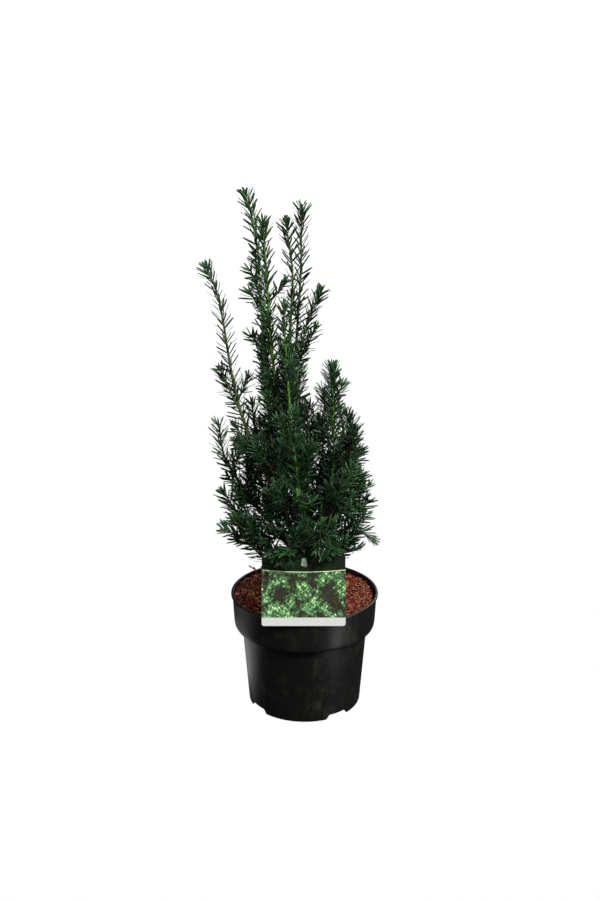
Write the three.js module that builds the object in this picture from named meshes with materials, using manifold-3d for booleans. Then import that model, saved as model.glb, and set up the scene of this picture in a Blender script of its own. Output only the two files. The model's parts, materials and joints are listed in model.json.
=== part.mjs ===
// Potted dwarf yew: an upright, many-shooted young shrub in a round black nursery pot, with bark mulch
// on its soil and a picture card hung by a strap from a front twig.
// Millimetres. +X right and +Y away from the photograph's camera, +Z up, origin under the pot's centre.
import * as THREE from "three";
import { mergeVertices } from "three/addons/utils/BufferGeometryUtils.js";
import Module from "manifold-3d";

const wasm = await Module();
wasm.setup();

const { clamp, lerp, degToRad: radians } = THREE.MathUtils;
const vector = (x, y, z) => new THREE.Vector3(x, y, z);

const GAP = 0.3;
const UP = vector(0, 0, 1);

// Solids

function solidOf(geometry) {
  const bare = geometry.index ? geometry.toNonIndexed() : geometry.clone();
  bare.deleteAttribute("normal");
  bare.deleteAttribute("uv");
  const merged = mergeVertices(bare, 1e-4);
  return new wasm.Manifold(
    new wasm.Mesh({
      numProp: 3,
      vertProperties: merged.attributes.position.array,
      triVerts: new Uint32Array(merged.index.array),
    }),
  );
}

function geometryOf(solid) {
  const made = solid.getMesh();
  const geometry = new THREE.BufferGeometry();
  geometry.setAttribute("position", new THREE.BufferAttribute(made.vertProperties, 3));
  geometry.setIndex(new THREE.BufferAttribute(made.triVerts, 1));
  return geometry;
}

const joined = (solids) => solids.reduce((whole, solid) => whole.add(solid));
const cutBy = (solid, tools) => tools.reduce((left, tool) => left.subtract(tool), solid);

function mesh(name, geometry, color, roughness, metalness = 0) {
  const shaded = geometry.toNonIndexed();
  shaded.computeVertexNormals();
  const made = new THREE.Mesh(shaded, new THREE.MeshStandardMaterial({ color, roughness, metalness }));
  made.name = name;
  return made;
}

const axisDistance = (at) => Math.hypot(at.x, at.y);

// A solid turned about +Z from a profile of [radius, height] points that starts and ends on the axis.
function turned(profile, segments) {
  const points = profile.map(([radius, height]) => new THREE.Vector2(radius, height));
  return new THREE.LatheGeometry(points, segments).rotateX(Math.PI / 2);
}

// A number from 0 to 1 at each call, the same run for the same seed.
function seeded(seed) {
  let state = seed * 7919 + 17;
  return () => {
    state = (state * 1664525 + 1013904223) % 4294967296;
    return state / 4294967296;
  };
}

// Pot

const POT = {
  height: 150,
  lipRadius: 95,
  lipHeight: 3,
  lipProud: 2,
  collarFoot: 106,
  collarTaper: 2,
  baseRadius: 73,
  shoulderRadius: 81,
  wall: 1.6,
  floorRise: 7,
  floorThickness: 2,
  padRadius: 20,
  padFlare: 1.5,
  footRing: 2,
  footRingTop: 3.5,
  stepBevel: 1.5,
  lipRound: 0.6,
  segments: 32,
};
const COLLAR_RADIUS = POT.lipRadius - POT.lipProud;
// How much lower the step inside the pot is at its inner edge than at the collar.
const STEP_FALL = 0.5;
const NOTCH = { count: 4, firstAngle: -55, width: 28, height: 6.4, depth: 14 };
const DRAIN = { count: 6, radius: 4, ring: 45 };

function potSolid() {
  const { height, wall, floorRise, floorThickness, baseRadius, shoulderRadius } = POT;
  const collarTop = height - POT.lipHeight;
  const floorTop = floorRise + floorThickness;
  const collarBottomRadius = COLLAR_RADIUS - POT.collarTaper;
  const body = solidOf(
    turned(
      [
        [0, 0],
        [POT.padRadius, 0],
        [POT.padRadius + POT.padFlare, floorRise],
        [baseRadius - POT.footRingTop, floorRise],
        [baseRadius - POT.footRing, 0],
        [baseRadius, 0],
        [shoulderRadius, POT.collarFoot - POT.stepBevel],
        [collarBottomRadius - POT.stepBevel, POT.collarFoot],
        [collarBottomRadius, POT.collarFoot + POT.stepBevel],
        [COLLAR_RADIUS, collarTop],
        [POT.lipRadius, collarTop + POT.lipRound],
        [POT.lipRadius, height - POT.lipRound],
        [POT.lipRadius - POT.lipRound, height],
        [COLLAR_RADIUS - wall, height],
        [collarBottomRadius - wall, POT.collarFoot + wall],
        [shoulderRadius - wall, POT.collarFoot + wall - STEP_FALL],
        [baseRadius - wall, floorTop],
        [0, floorTop],
      ],
      POT.segments,
    ),
  );
  const tools = [];
  for (let i = 0; i < NOTCH.count; i++) {
    const angle = radians(NOTCH.firstAngle + (i * 360) / NOTCH.count - 90);
    const box = new THREE.BoxGeometry(NOTCH.depth, NOTCH.width, NOTCH.height + 2);
    box.translate(baseRadius + 1, 0, NOTCH.height / 2 - 1);
    tools.push(solidOf(box.rotateZ(angle)));
  }
  for (let i = 0; i < DRAIN.count; i++) {
    const angle = ((i + 0.5) / DRAIN.count) * 2 * Math.PI;
    const hole = new THREE.CylinderGeometry(DRAIN.radius, DRAIN.radius, 4 * floorThickness, 8);
    hole.rotateX(Math.PI / 2).translate(DRAIN.ring, 0, floorRise + floorThickness / 2);
    tools.push(solidOf(hole.rotateZ(angle)));
  }
  return cutBy(body, tools);
}

// Soil and mulch

const MULCH = {
  top: 147,
  edgeDrop: 4,
  depth: 10,
  flatRadius: 18,
  bump: 1.4,
  heapHeight: 3.5,
  heapAngle: 155,
  soilInset: 0.6,
};

function soilSolid() {
  const clear = POT.wall + GAP;
  const top = MULCH.top - MULCH.depth - GAP;
  const floorTop = POT.floorRise + POT.floorThickness + GAP;
  const collarBottomRadius = COLLAR_RADIUS - POT.collarTaper;
  return solidOf(
    turned(
      [
        [0, floorTop],
        [POT.baseRadius - clear, floorTop],
        [POT.shoulderRadius - clear, POT.collarFoot + POT.wall - STEP_FALL],
        [POT.shoulderRadius - clear, POT.collarFoot + POT.wall + 2 * GAP],
        [collarBottomRadius - clear - MULCH.soilInset, POT.collarFoot + POT.wall + 2 * GAP],
        [COLLAR_RADIUS - clear - 2 * MULCH.soilInset, top],
        [0, top],
      ],
      POT.segments,
    ),
  );
}

// The mulch's top is a disc of rings, level round the stem, bumpy elsewhere and heaped at the left back.
function mulchSolid() {
  const random = seeded(5);
  const rings = [MULCH.flatRadius, 36, 54, 70, COLLAR_RADIUS - POT.wall - GAP - 0.3];
  const bottom = MULCH.top - MULCH.depth;
  const profile = [[0, bottom], [rings.at(-1) - 0.6, bottom]];
  for (const radius of [...rings].reverse()) {
    const drop = MULCH.edgeDrop * Math.max(0, (radius - rings[0]) / (rings.at(-1) - rings[0]));
    profile.push([radius, MULCH.top - drop]);
  }
  profile.push([0, MULCH.top]);
  const disc = turned(profile, POT.segments);
  const places = disc.attributes.position;
  const moved = new Map();
  for (let i = 0; i < places.count; i++) {
    const x = places.getX(i);
    const y = places.getY(i);
    const radius = Math.hypot(x, y);
    if (places.getZ(i) < bottom + 1 || radius < rings[0] + 1) continue;
    const key = `${Math.round(x * 100)} ${Math.round(y * 100)}`;
    if (!moved.has(key)) {
      const away = Math.atan2(y, x) - radians(MULCH.heapAngle);
      const heap = MULCH.heapHeight * Math.max(0, Math.cos(away)) ** 3 * (radius / rings.at(-1)) ** 2;
      moved.set(key, heap + (random() - 0.5) * 2 * MULCH.bump);
    }
    places.setZ(i, places.getZ(i) + moved.get(key));
  }
  return solidOf(disc);
}

// Limbs

const SIDES = { trunk: 10, bough: 5, stem: 3 };

function meshOf(vertices, faces) {
  const geometry = new THREE.BufferGeometry();
  const places = vertices.flatMap((at) => at.toArray());
  geometry.setAttribute("position", new THREE.Float32BufferAttribute(places, 3));
  geometry.setIndex(faces);
  return geometry;
}

// The rings of a tube: at each point its tangent and the directions out from it, carried without twist.
function framesAlong(points, tangents) {
  let across = vector(1, 0.2, 0.1);
  return points.map((point, i) => {
    const tangent = tangents[i];
    across = across.clone().addScaledVector(tangent, -across.dot(tangent)).normalize();
    const third = tangent.clone().cross(across);
    const here = across;
    const outAt = (turn) =>
      here.clone().multiplyScalar(Math.cos(turn)).addScaledVector(third, Math.sin(turn));
    return { point, tangent, outAt };
  });
}

// A closed tube through rings. spikes gives, by "segment side", the tip of a needle grown from that face.
function skin(frames, radii, sides, spikes = new Map()) {
  const vertices = [];
  const faces = [];
  frames.forEach(({ point, outAt }, i) => {
    for (let k = 0; k < sides; k++)
      vertices.push(point.clone().addScaledVector(outAt((k / sides) * 2 * Math.PI), radii[i]));
  });
  for (let i = 0; i + 1 < frames.length; i++) {
    for (let k = 0; k < sides; k++) {
      const a = i * sides + k;
      const b = i * sides + ((k + 1) % sides);
      const tip = spikes.get(`${i} ${k}`);
      if (tip) {
        const apex = vertices.push(tip) - 1;
        faces.push(a, b, apex, b, b + sides, apex, b + sides, a + sides, apex, a + sides, a, apex);
      } else {
        faces.push(a, b, b + sides, a, b + sides, a + sides);
      }
    }
  }
  const last = (frames.length - 1) * sides;
  for (let k = 1; k + 1 < sides; k++) faces.push(0, k + 1, k);
  if (spikes.has("end")) {
    const apex = vertices.push(spikes.get("end")) - 1;
    for (let k = 0; k < sides; k++) faces.push(last + k, last + ((k + 1) % sides), apex);
  } else {
    for (let k = 1; k + 1 < sides; k++) faces.push(last, last + k, last + k + 1);
  }
  return meshOf(vertices, faces);
}

function tube(points, radii, sides) {
  const tangents = points.map((_, i) => {
    const before = points[Math.max(0, i - 1)];
    const after = points[Math.min(points.length - 1, i + 1)];
    return after.clone().sub(before).normalize();
  });
  return skin(framesAlong(points, tangents), radii, sides);
}

// Trunk

const TRUNK = {
  through: [[0, 0, MULCH.top + GAP], [-1, 1, 190], [-4, 5, 260], [-7, 9, 336]],
  radii: [[147, 14], [152, 11.5], [165, 10], [200, 8], [260, 6], [336, 4]],
  rings: [147.3, 151, 158, 175, 200, 230, 260, 300, 336],
};
const trunkLine = new THREE.CatmullRomCurve3(TRUNK.through.map((at) => vector(...at)));

function between(table, at) {
  if (at <= table[0][0]) return table[0][1];
  for (let i = 1; i < table.length; i++) {
    const [low, lowValue] = table[i - 1];
    const [high, highValue] = table[i];
    if (at <= high) return lowValue + ((highValue - lowValue) * (at - low)) / (high - low);
  }
  return table.at(-1)[1];
}

// The point where a line that climbs all the way passes a height.
function atHeight(line, height) {
  let low = 0;
  let high = 1;
  for (let i = 0; i < 30; i++) {
    const middle = (low + high) / 2;
    if (line.getPoint(middle).z < height) low = middle;
    else high = middle;
  }
  return line.getPoint(low);
}

function trunkSolid(extra) {
  const points = TRUNK.rings.map((height) => atHeight(trunkLine, height));
  const radii = TRUNK.rings.map((height) => between(TRUNK.radii, height) + extra);
  if (extra > 0) {
    points[0].z -= extra;
    points.at(-1).z += extra;
  }
  const upright = points.map(() => UP);
  return solidOf(skin(framesAlong(points, upright), radii, SIDES.trunk));
}

// Shoots. Each row is one main limb: its foot on the trunk, two points that it passes through, and its tip.
// bough: the bare share of its length, 0 where its foliage starts at the trunk.
// thick: its radius at the foot. twigs: how many side twigs it has, and twig: the longest.
// gap: the way from one set of needles to the next. branches: twigs with a set height and tip.

const SHOOTS = [
  { name: "tall_left", foot: 278, through: [[-45, 7, 444], [-59, 5, 608]], tip: [-70, 6, 652],
    bough: 0.22, thick: 3, twigs: 5, twig: 34, gap: 18,
    branches: [[466, -65, -12, 487], [513, -66, -5, 540]] },
  { name: "tall_front", foot: 252, through: [[-36, -15, 435], [-46, -15, 570]], tip: [-49, -14, 622],
    bough: 0.25, thick: 3, twigs: 5, twig: 34, gap: 18,
    branches: [[528, -22, -22, 553]] },
  { name: "tall_mid", foot: 330, through: [[-19, 15, 445], [-15, 15, 560]], tip: [-23, 14, 618],
    bough: 0.12, thick: 2.8, twigs: 3, twig: 30, gap: 19 },
  { name: "tall_right", foot: 286, through: [[-13, 27, 400], [-5, 20, 560]], tip: [-4, 22, 636],
    bough: 0.2, thick: 2.8, twigs: 3, twig: 30, gap: 19 },
  { name: "left_leader", foot: 204, through: [[-78, -5, 388], [-104, -5, 534]], tip: [-117, -4, 568],
    bough: 0.28, thick: 3.2, twigs: 5, twig: 40, gap: 20,
    branches: [[390, -102, -14, 447], [405, -69, 3, 432]] },
  { name: "right_upper", foot: 268, through: [[-12, -5, 400], [2, 3, 496]], tip: [19, 2, 538],
    bough: 0.3, thick: 2.2, twigs: 2, twig: 26, gap: 18 },
  { name: "bright_centre", foot: 226, through: [[-15, -29, 362], [-23, -33, 480]], tip: [-25, -34, 527],
    bough: 0.25, thick: 2.6, twigs: 3, twig: 30, gap: 18 },
  { name: "column_left", foot: 216, through: [[-40, -8, 350], [-47, -8, 440]], tip: [-51, -8, 481],
    bough: 0.3, thick: 2.4, twigs: 4, twig: 30, gap: 18 },
  { name: "right_spire", foot: 212, through: [[32, -22, 305], [34, -28, 405]], tip: [32, -27, 453],
    bough: 0.24, thick: 3, twigs: 5, twig: 34, gap: 13,
    branches: [[405, 45, -31, 432], [348, 16, -14, 384]] },
  { name: "right_outer_a", foot: 202, through: [[47, 5, 296], [58, 6, 355]], tip: [57, 6, 382],
    bough: 0.26, thick: 2.6, twigs: 4, twig: 38, gap: 17 },
  { name: "right_outer_b", foot: 190, through: [[47, -13, 284], [57, -16, 345]], tip: [60, -17, 373],
    bough: 0.24, thick: 2.6, twigs: 5, twig: 40, gap: 17 },
  { name: "right_low_a", foot: 186, through: [[34, 9, 236], [60, 12, 280]], tip: [72, 12, 304],
    bough: 0.24, thick: 2.2, twigs: 4, twig: 40, gap: 17 },
  { name: "right_low_b", foot: 172, through: [[36, -5, 214], [65, -8, 257]], tip: [80, -6, 275],
    bough: 0.22, thick: 2.2, twigs: 5, twig: 40, gap: 17 },
  { name: "right_skirt", foot: 160, through: [[42, -14, 203], [67, -19, 238]], tip: [85, -24, 229],
    bough: 0, thick: 2, twigs: 4, twig: 36, gap: 17 },
  { name: "centre_right", foot: 254, through: [[5, -12, 310], [4, -13, 356]], tip: [3, -12, 397],
    bough: 0, thick: 2, twigs: 3, twig: 34, gap: 17 },
  { name: "front_centre", foot: 214, through: [[-5, -38, 270], [-11, -51, 340]], tip: [-20, -54, 385],
    bough: 0.22, thick: 2.6, twigs: 5, twig: 38, gap: 17 },
  { name: "front_left", foot: 196, through: [[-21, -44, 270], [-35, -54, 318]], tip: [-50, -58, 356],
    bough: 0.22, thick: 2.4, twigs: 5, twig: 40, gap: 17 },
  { name: "front_right", foot: 200, through: [[25, -44, 250], [37, -58, 292]], tip: [45, -64, 326],
    bough: 0.22, thick: 2.2, twigs: 5, twig: 38, gap: 17 },
  { name: "left_low_a", foot: 186, through: [[-74, -8, 289], [-99, -10, 334]], tip: [-106, -9, 377],
    bough: 0.26, thick: 2.8, twigs: 6, twig: 42, gap: 17 },
  { name: "left_low_b", foot: 174, through: [[-62, -18, 233], [-86, -22, 268]], tip: [-101, -20, 292],
    bough: 0.22, thick: 2.4, twigs: 5, twig: 40, gap: 17 },
  { name: "left_skirt", foot: 160, through: [[-50, -28, 205], [-77, -33, 236]], tip: [-103, -36, 248],
    bough: 0, thick: 2, twigs: 4, twig: 36, gap: 17 },
  { name: "front_skirt_left", foot: 164, through: [[-13, -36, 200], [-18, -60, 234]], tip: [-22, -86, 235],
    bough: 0, thick: 2, twigs: 3, twig: 34, gap: 17 },
  { name: "front_skirt_right", foot: 168, through: [[9, -33, 207], [16, -57, 242]], tip: [20, -77, 270],
    bough: 0, thick: 2, twigs: 4, twig: 36, gap: 17,
    branches: [[219, -10, -47.5, 226.5]] },
  { name: "left_inner", foot: 222, through: [[-34, 15, 290], [-46, 14, 340]], tip: [-52, 12, 374],
    bough: 0.24, thick: 2.2, twigs: 4, twig: 36, gap: 17 },
  { name: "back_tall", foot: 274, through: [[-22, 34, 360], [-27, 42, 425]], tip: [-30, 44, 470],
    bough: 0.22, thick: 2.4, twigs: 4, twig: 34, gap: 20 },
  { name: "back_left", foot: 200, through: [[-48, 40, 290], [-62, 50, 345]], tip: [-68, 52, 388],
    bough: 0.24, thick: 2.4, twigs: 6, twig: 42, gap: 20 },
  { name: "back_right", foot: 218, through: [[20, 44, 295], [25, 56, 350]], tip: [27, 60, 394],
    bough: 0.22, thick: 2.4, twigs: 5, twig: 40, gap: 20 },
  { name: "back_mid", foot: 230, through: [[-8, 48, 310], [-8, 66, 380]], tip: [-6, 70, 424],
    bough: 0.22, thick: 2.4, twigs: 5, twig: 40, gap: 20 },
  { name: "back_low_left", foot: 178, through: [[-42, 54, 235], [-56, 74, 275]], tip: [-62, 86, 306],
    bough: 0, thick: 2.2, twigs: 6, twig: 40, gap: 20 },
  { name: "back_low_right", foot: 184, through: [[38, 46, 240], [50, 66, 285]], tip: [56, 76, 318],
    bough: 0, thick: 2.2, twigs: 6, twig: 40, gap: 20 },
  { name: "back_low_mid", foot: 168, through: [[-2, 56, 225], [-3, 82, 275]], tip: [-4, 92, 322],
    bough: 0, thick: 2.2, twigs: 6, twig: 40, gap: 20 },
];

const LIMB = {
  tipRadius: 0.9,
  pace: 26,
  boughPace: 28,
  twigPace: 20,
  twigFoot: 1.35,
  twigTip: 0.8,
  bareFoot: 24,
  bareStart: 5,
  bareTwig: 9,
  crownInset: 6,
  askedSpare: 0.6,
  twigSpare: 2.5,
};
const GOLDEN = radians(137.5);

// How far from the axis foliage reaches at each height, which keeps the twigs inside the crown's outline.
const CROWN = [
  [150, 60], [180, 68], [210, 82], [235, 100], [250, 107], [300, 104], [370, 100], [410, 88], [470, 74],
  [660, 70],
];

// Gaps between the shoots where the plant is open, so no side twig grows in: from and to along X, then up.
const OPEN = [
  { x: [-5, 21], z: [385, 470] },
  { x: [-77, -55], z: [395, 500] },
];

// The label that the front foliage keeps clear of; its card leans back on the pot's lip.
const CARD = {
  width: 102,
  height: 88,
  thick: 0.8,
  corner: 3,
  centreX: -1.5,
  bottom: [-96.63, 146],
  lean: 21,
  slotDrop: 16,
  slotWidth: 9,
  slotHeight: 2.6,
};
const cardLean = radians(CARD.lean);
// Card space: x across, y up the card from its bottom edge, z out of its printed face.
const cardPlace = new THREE.Matrix4().makeBasis(
  vector(1, 0, 0),
  vector(0, Math.sin(cardLean), Math.cos(cardLean)),
  vector(0, -Math.cos(cardLean), Math.sin(cardLean)),
);
cardPlace.setPosition(CARD.centreX, ...CARD.bottom);
const toCard = cardPlace.clone().invert();

const STRAP = {
  width: 5,
  thick: 0.8,
  x: -1,
  loopAt: [-44.6, 221.9],
  loopRadius: 3.6,
  loopStart: -110,
  loopEnd: 90,
  loopSteps: 6,
  slotEntry: 1.4,
  slotExit: [-0.6, -4],
  returnBend: [8, -3],
  returnEnd: 6.5,
  offCard: GAP,
  clear: 5.5,
};
const TAB = { foot: 7.8, top: 4.4, length: 9, aboveSlot: 1 };

// The shortest way between two straight pieces, with the place of it on each.
function closest(a, b, c, d) {
  const u = b.clone().sub(a);
  const v = d.clone().sub(c);
  const w = a.clone().sub(c);
  const uu = u.dot(u);
  const uv = u.dot(v);
  const vv = v.dot(v);
  const uw = u.dot(w);
  const vw = v.dot(w);
  const spread = uu * vv - uv * uv;
  let s = spread > 1e-9 ? clamp((uv * vw - vv * uw) / spread, 0, 1) : 0;
  let t = clamp((uv * s + vw) / vv, 0, 1);
  s = clamp((uv * t - uw) / uu, 0, 1);
  const apart = a.clone().addScaledVector(u, s).distanceTo(c.clone().addScaledVector(v, t));
  return { apart, s, t };
}

// Everything that foliage has to miss: straight pieces with a radius at each end, and the limb they are of.
const CELL = 40;
const grid = new Map();

function cellsOf(from, to) {
  const keys = [];
  const low = from.clone().min(to).divideScalar(CELL).floor();
  const high = from.clone().max(to).divideScalar(CELL).floor();
  for (let i = low.x - 1; i <= high.x + 1; i++)
    for (let j = low.y - 1; j <= high.y + 1; j++)
      for (let k = low.z - 1; k <= high.z + 1; k++) keys.push(`${i} ${j} ${k}`);
  return keys;
}

function take(piece) {
  for (const key of cellsOf(piece.from, piece.to)) {
    if (!grid.has(key)) grid.set(key, []);
    grid.get(key).push(piece);
  }
}

function isClear(piece, spare) {
  const middle = piece.from.clone().add(piece.to).multiplyScalar(0.5).divideScalar(CELL).floor();
  const near = grid.get(`${middle.x} ${middle.y} ${middle.z}`) ?? [];
  for (const other of near) {
    if (other.limb === piece.limb || other.limb === piece.parent || other.parent === piece.limb) continue;
    const { apart, s, t } = closest(piece.from, piece.to, other.from, other.to);
    const thickness = lerp(...piece.radii, s) + lerp(...other.radii, t);
    if (apart < thickness + spare) return false;
  }
  return clearsLabel(piece) && clearsPot(piece);
}

// Whether a piece stays off the card: no point of it near the card's plane, and no way through it.
function clearsLabel(piece) {
  const margin = 3;
  const steps = 8;
  let side = 0;
  for (let i = 0; i <= steps; i++) {
    const at = piece.from.clone().lerp(piece.to, i / steps).applyMatrix4(toCard);
    const aside = Math.abs(at.x) > CARD.width / 2 + margin;
    const beside = aside || at.y < -margin || at.y > CARD.height + margin;
    if (!beside && (Math.abs(at.z) < margin || side * at.z < 0)) return false;
    side = beside ? 0 : Math.sign(at.z);
  }
  return true;
}

function clearsPot(piece) {
  const margin = 3;
  const low = Math.min(piece.from.z, piece.to.z) - margin;
  const far = Math.max(axisDistance(piece.from), axisDistance(piece.to)) + margin;
  const surface = far > COLLAR_RADIUS - 2 * margin ? POT.height : MULCH.top + MULCH.bump;
  return low > surface;
}

// The points of a line from one share of its length to another.
function along(line, start, end, pace) {
  const steps = Math.max(2, Math.round(((end - start) * line.getLength()) / pace));
  const shares = Array.from({ length: steps + 1 }, (_, i) => start + ((end - start) * i) / steps);
  return shares.map((share) => line.getPointAt(Math.min(1, share)));
}

function takeLine(points, radii, limb, parent) {
  for (let i = 1; i < points.length; i++)
    take({ from: points[i - 1], to: points[i], radii: [radii[i - 1], radii[i]], limb, parent });
}

let limbCount = 0;

// A limb that needles grow on: its line from one share to 1, its radius at each end, and its bare length.
function limbOf(line, start, thick, thin, bare) {
  const length = (1 - start) * line.getLength();
  const shareAt = (distance) => Math.min(1, start + (distance / length) * (1 - start));
  const radiusAt = (distance) => lerp(thick, thin, distance / length);
  return { id: limbCount++, line, length, shareAt, radiusAt, bare };
}

function growMain(shoot, index) {
  const foot = atHeight(trunkLine, shoot.foot);
  const places = [foot, ...[...shoot.through, shoot.tip].map((at) => vector(...at))];
  const line = new THREE.CatmullRomCurve3(places);
  const start = shoot.bough > 0 ? shoot.bough + GAP / line.getLength() : 0;
  const thickAt = (share) => lerp(shoot.thick, LIMB.tipRadius, share);
  const bare = start === 0 ? LIMB.bareFoot : LIMB.bareStart;
  const stem = limbOf(line, start, thickAt(start), LIMB.tipRadius, bare);
  const grown = { ...shoot, index, line, limbs: [stem] };
  const points = along(line, start, 1, LIMB.pace);
  takeLine(points, points.map((_, i) => stem.radiusAt((stem.length * i) / (points.length - 1))), stem.id);
  if (shoot.bough > 0) {
    const boughPoints = along(line, 0, shoot.bough, LIMB.boughPace);
    const boughRadii = boughPoints.map((_, i) => thickAt((shoot.bough * i) / (boughPoints.length - 1)));
    grown.boughTube = tube(boughPoints, boughRadii, SIDES.bough);
    takeLine(boughPoints, boughRadii, limbCount++);
  }
  return grown;
}

// A twig from a point on the stem to a tip, bowed up, or nothing where it would leave its space.
function growTwig(shoot, from, to, asked) {
  const bend = from.clone().lerp(to, 0.55).addScaledVector(UP, -0.08 * from.distanceTo(to));
  const line = new THREE.QuadraticBezierCurve3(from, bend, to);
  const points = along(line, 0, 1, LIMB.twigPace);
  const inCrown = points.every((at) => axisDistance(at) < between(CROWN, at.z) - LIMB.crownInset);
  const isIn = (value, [low, high]) => value > low && value < high;
  const inOpen = points.some((at) => OPEN.some((gap) => isIn(at.x, gap.x) && isIn(at.z, gap.z)));
  if (!asked && (!inCrown || inOpen)) return false;
  const stem = shoot.limbs[0];
  const twig = limbOf(line, 0, LIMB.twigFoot, LIMB.twigTip, LIMB.bareTwig);
  const radii = points.map((_, i) => twig.radiusAt((twig.length * i) / (points.length - 1)));
  for (let i = 1; i < points.length; i++) {
    const radiusPair = [radii[i - 1], radii[i]];
    const piece = { from: points[i - 1], to: points[i], radii: radiusPair, limb: twig.id, parent: stem.id };
    if (!isClear(piece, asked ? LIMB.askedSpare : LIMB.twigSpare)) return false;
  }
  takeLine(points, radii, twig.id, stem.id);
  shoot.limbs.push(twig);
  return true;
}

const TWIG = { lean: 44, leanSpread: 16, lift: 0.22, shortest: 18, start: 0.08, end: 0.62, taper: 0.4 };

// A direction that leans away from a frame's tangent, turned round it.
const leaning = ({ tangent, outAt }, lean, turn) =>
  tangent.clone().multiplyScalar(Math.cos(lean)).addScaledVector(outAt(turn), Math.sin(lean));

function growTwigs(shoot) {
  for (const [height, ...tip] of shoot.branches ?? [])
    growTwig(shoot, atHeight(shoot.line, height), vector(...tip), true);
  const random = seeded(shoot.index + 11);
  const start = shoot.bough || 0.2;
  for (let i = 0; i < shoot.twigs; i++) {
    const spot = TWIG.start + ((TWIG.end - TWIG.start) * (i + random())) / shoot.twigs;
    const share = start + (1 - start) * spot;
    const from = shoot.line.getPointAt(share);
    const [frame] = framesAlong([from], [shoot.line.getTangentAt(share)]);
    const turn = i * GOLDEN + shoot.index + random() * 0.5;
    const lean = radians(TWIG.lean + TWIG.leanSpread * (random() - 0.5));
    let length = shoot.twig * (1 - TWIG.taper * spot) * (0.8 + 0.4 * random());
    for (; length > TWIG.shortest; length *= 0.8) {
      const to = from.clone().addScaledVector(leaning(frame, lean, turn), length);
      if (growTwig(shoot, from, to.addScaledVector(UP, TWIG.lift * length), false)) break;
    }
  }
}

// Needles: spikes that grow from a limb's three faces, in threes that each sway a little to one side,
// closer to the limb toward its tip, where the last three and the end itself make a tuft.
const NEEDLE = {
  lengths: [[150, 27], [340, 27], [440, 21], [660, 20]],
  lengthSpread: 0.25,
  rootLength: 2.6,
  rootRadius: 1.5,
  low: 62,
  high: 40,
  leanSpread: 12,
  tuftLean: 26,
  tuftLength: 0.72,
  tuftBack: 3,
  tuftRoom: 0.6,
  endLength: 0.5,
  turnSpread: 70,
  spare: 0.25,
};

function needleTip(frame, side, lean, sway, length) {
  const turn = ((side + 0.5) / SIDES.stem) * 2 * Math.PI + radians(sway);
  return frame.point.clone().addScaledVector(leaning(frame, radians(lean), turn), length);
}

function needledLimb(shoot, limb) {
  const random = seeded(limb.id + 71);
  const half = NEEDLE.rootLength / 2;
  const tuftAt = limb.length - NEEDLE.tuftBack;
  const middles = [];
  for (let at = limb.bare; at < tuftAt - NEEDLE.tuftRoom * shoot.gap; at += shoot.gap) middles.push(at);
  middles.push(tuftAt);
  const distances = [0, ...middles.flatMap((middle) => [middle - half, middle + half]), limb.length];
  const shares = distances.map(limb.shareAt);
  const points = shares.map((share) => limb.line.getPointAt(share));
  const frames = framesAlong(points, shares.map((share) => limb.line.getTangentAt(share)));
  const spikes = new Map();
  const grow = (key, frame, tip) => {
    const piece = { from: frame.point, to: tip, radii: [NEEDLE.rootRadius, 0.2], limb: limb.id };
    if (!isClear(piece, NEEDLE.spare)) return;
    take(piece);
    spikes.set(key, tip);
  };
  middles.forEach((middle, i) => {
    const isTuft = i === middles.length - 1;
    const frame = frames[2 * i + 1];
    const usual = between(NEEDLE.lengths, frame.point.z) * (isTuft ? NEEDLE.tuftLength : 1);
    const set = lerp(NEEDLE.low, NEEDLE.high, middle / limb.length);
    for (let side = 0; side < SIDES.stem; side++) {
      const lean = isTuft ? NEEDLE.tuftLean : set + NEEDLE.leanSpread * (random() - 0.5);
      const sway = NEEDLE.turnSpread * (random() - 0.5);
      const length = usual * (1 + NEEDLE.lengthSpread * (random() - 0.6));
      grow(`${2 * i + 1} ${side}`, frame, needleTip(frame, side, lean, sway, length));
    }
  });
  const end = frames.at(-1);
  const endLength = between(NEEDLE.lengths, end.point.z) * NEEDLE.endLength;
  grow("end", end, end.point.clone().addScaledVector(end.tangent, endLength));
  return skin(frames, distances.map(limb.radiusAt), SIDES.stem, spikes);
}

// Label: a card with a slot, and the strap that goes through it and round a front twig

const slotUp = CARD.height - CARD.slotDrop;

function cardSolid() {
  const { width, height, corner, thick } = CARD;
  const outline = new THREE.Shape();
  outline.absarc(width / 2 - corner, height - corner, corner, 0, Math.PI / 2);
  outline.absarc(corner - width / 2, height - corner, corner, Math.PI / 2, Math.PI);
  outline.absarc(corner - width / 2, corner, corner, Math.PI, 1.5 * Math.PI);
  outline.absarc(width / 2 - corner, corner, corner, 1.5 * Math.PI, 2 * Math.PI);
  const plate = new THREE.ExtrudeGeometry(outline, { depth: thick, bevelEnabled: false, curveSegments: 2 });
  const slot = new THREE.BoxGeometry(CARD.slotWidth, CARD.slotHeight, 4 * thick);
  slot.translate(STRAP.x - CARD.centreX, slotUp, thick / 2);
  return solidOf(plate.applyMatrix4(cardPlace)).subtract(solidOf(slot.applyMatrix4(cardPlace)));
}

// A point of the upright plane through the slot, given up the card and out of its printed face.
function inPlane(up, out) {
  const at = vector(0, up, out).applyMatrix4(cardPlace);
  return new THREE.Vector2(at.y, at.z);
}

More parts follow.
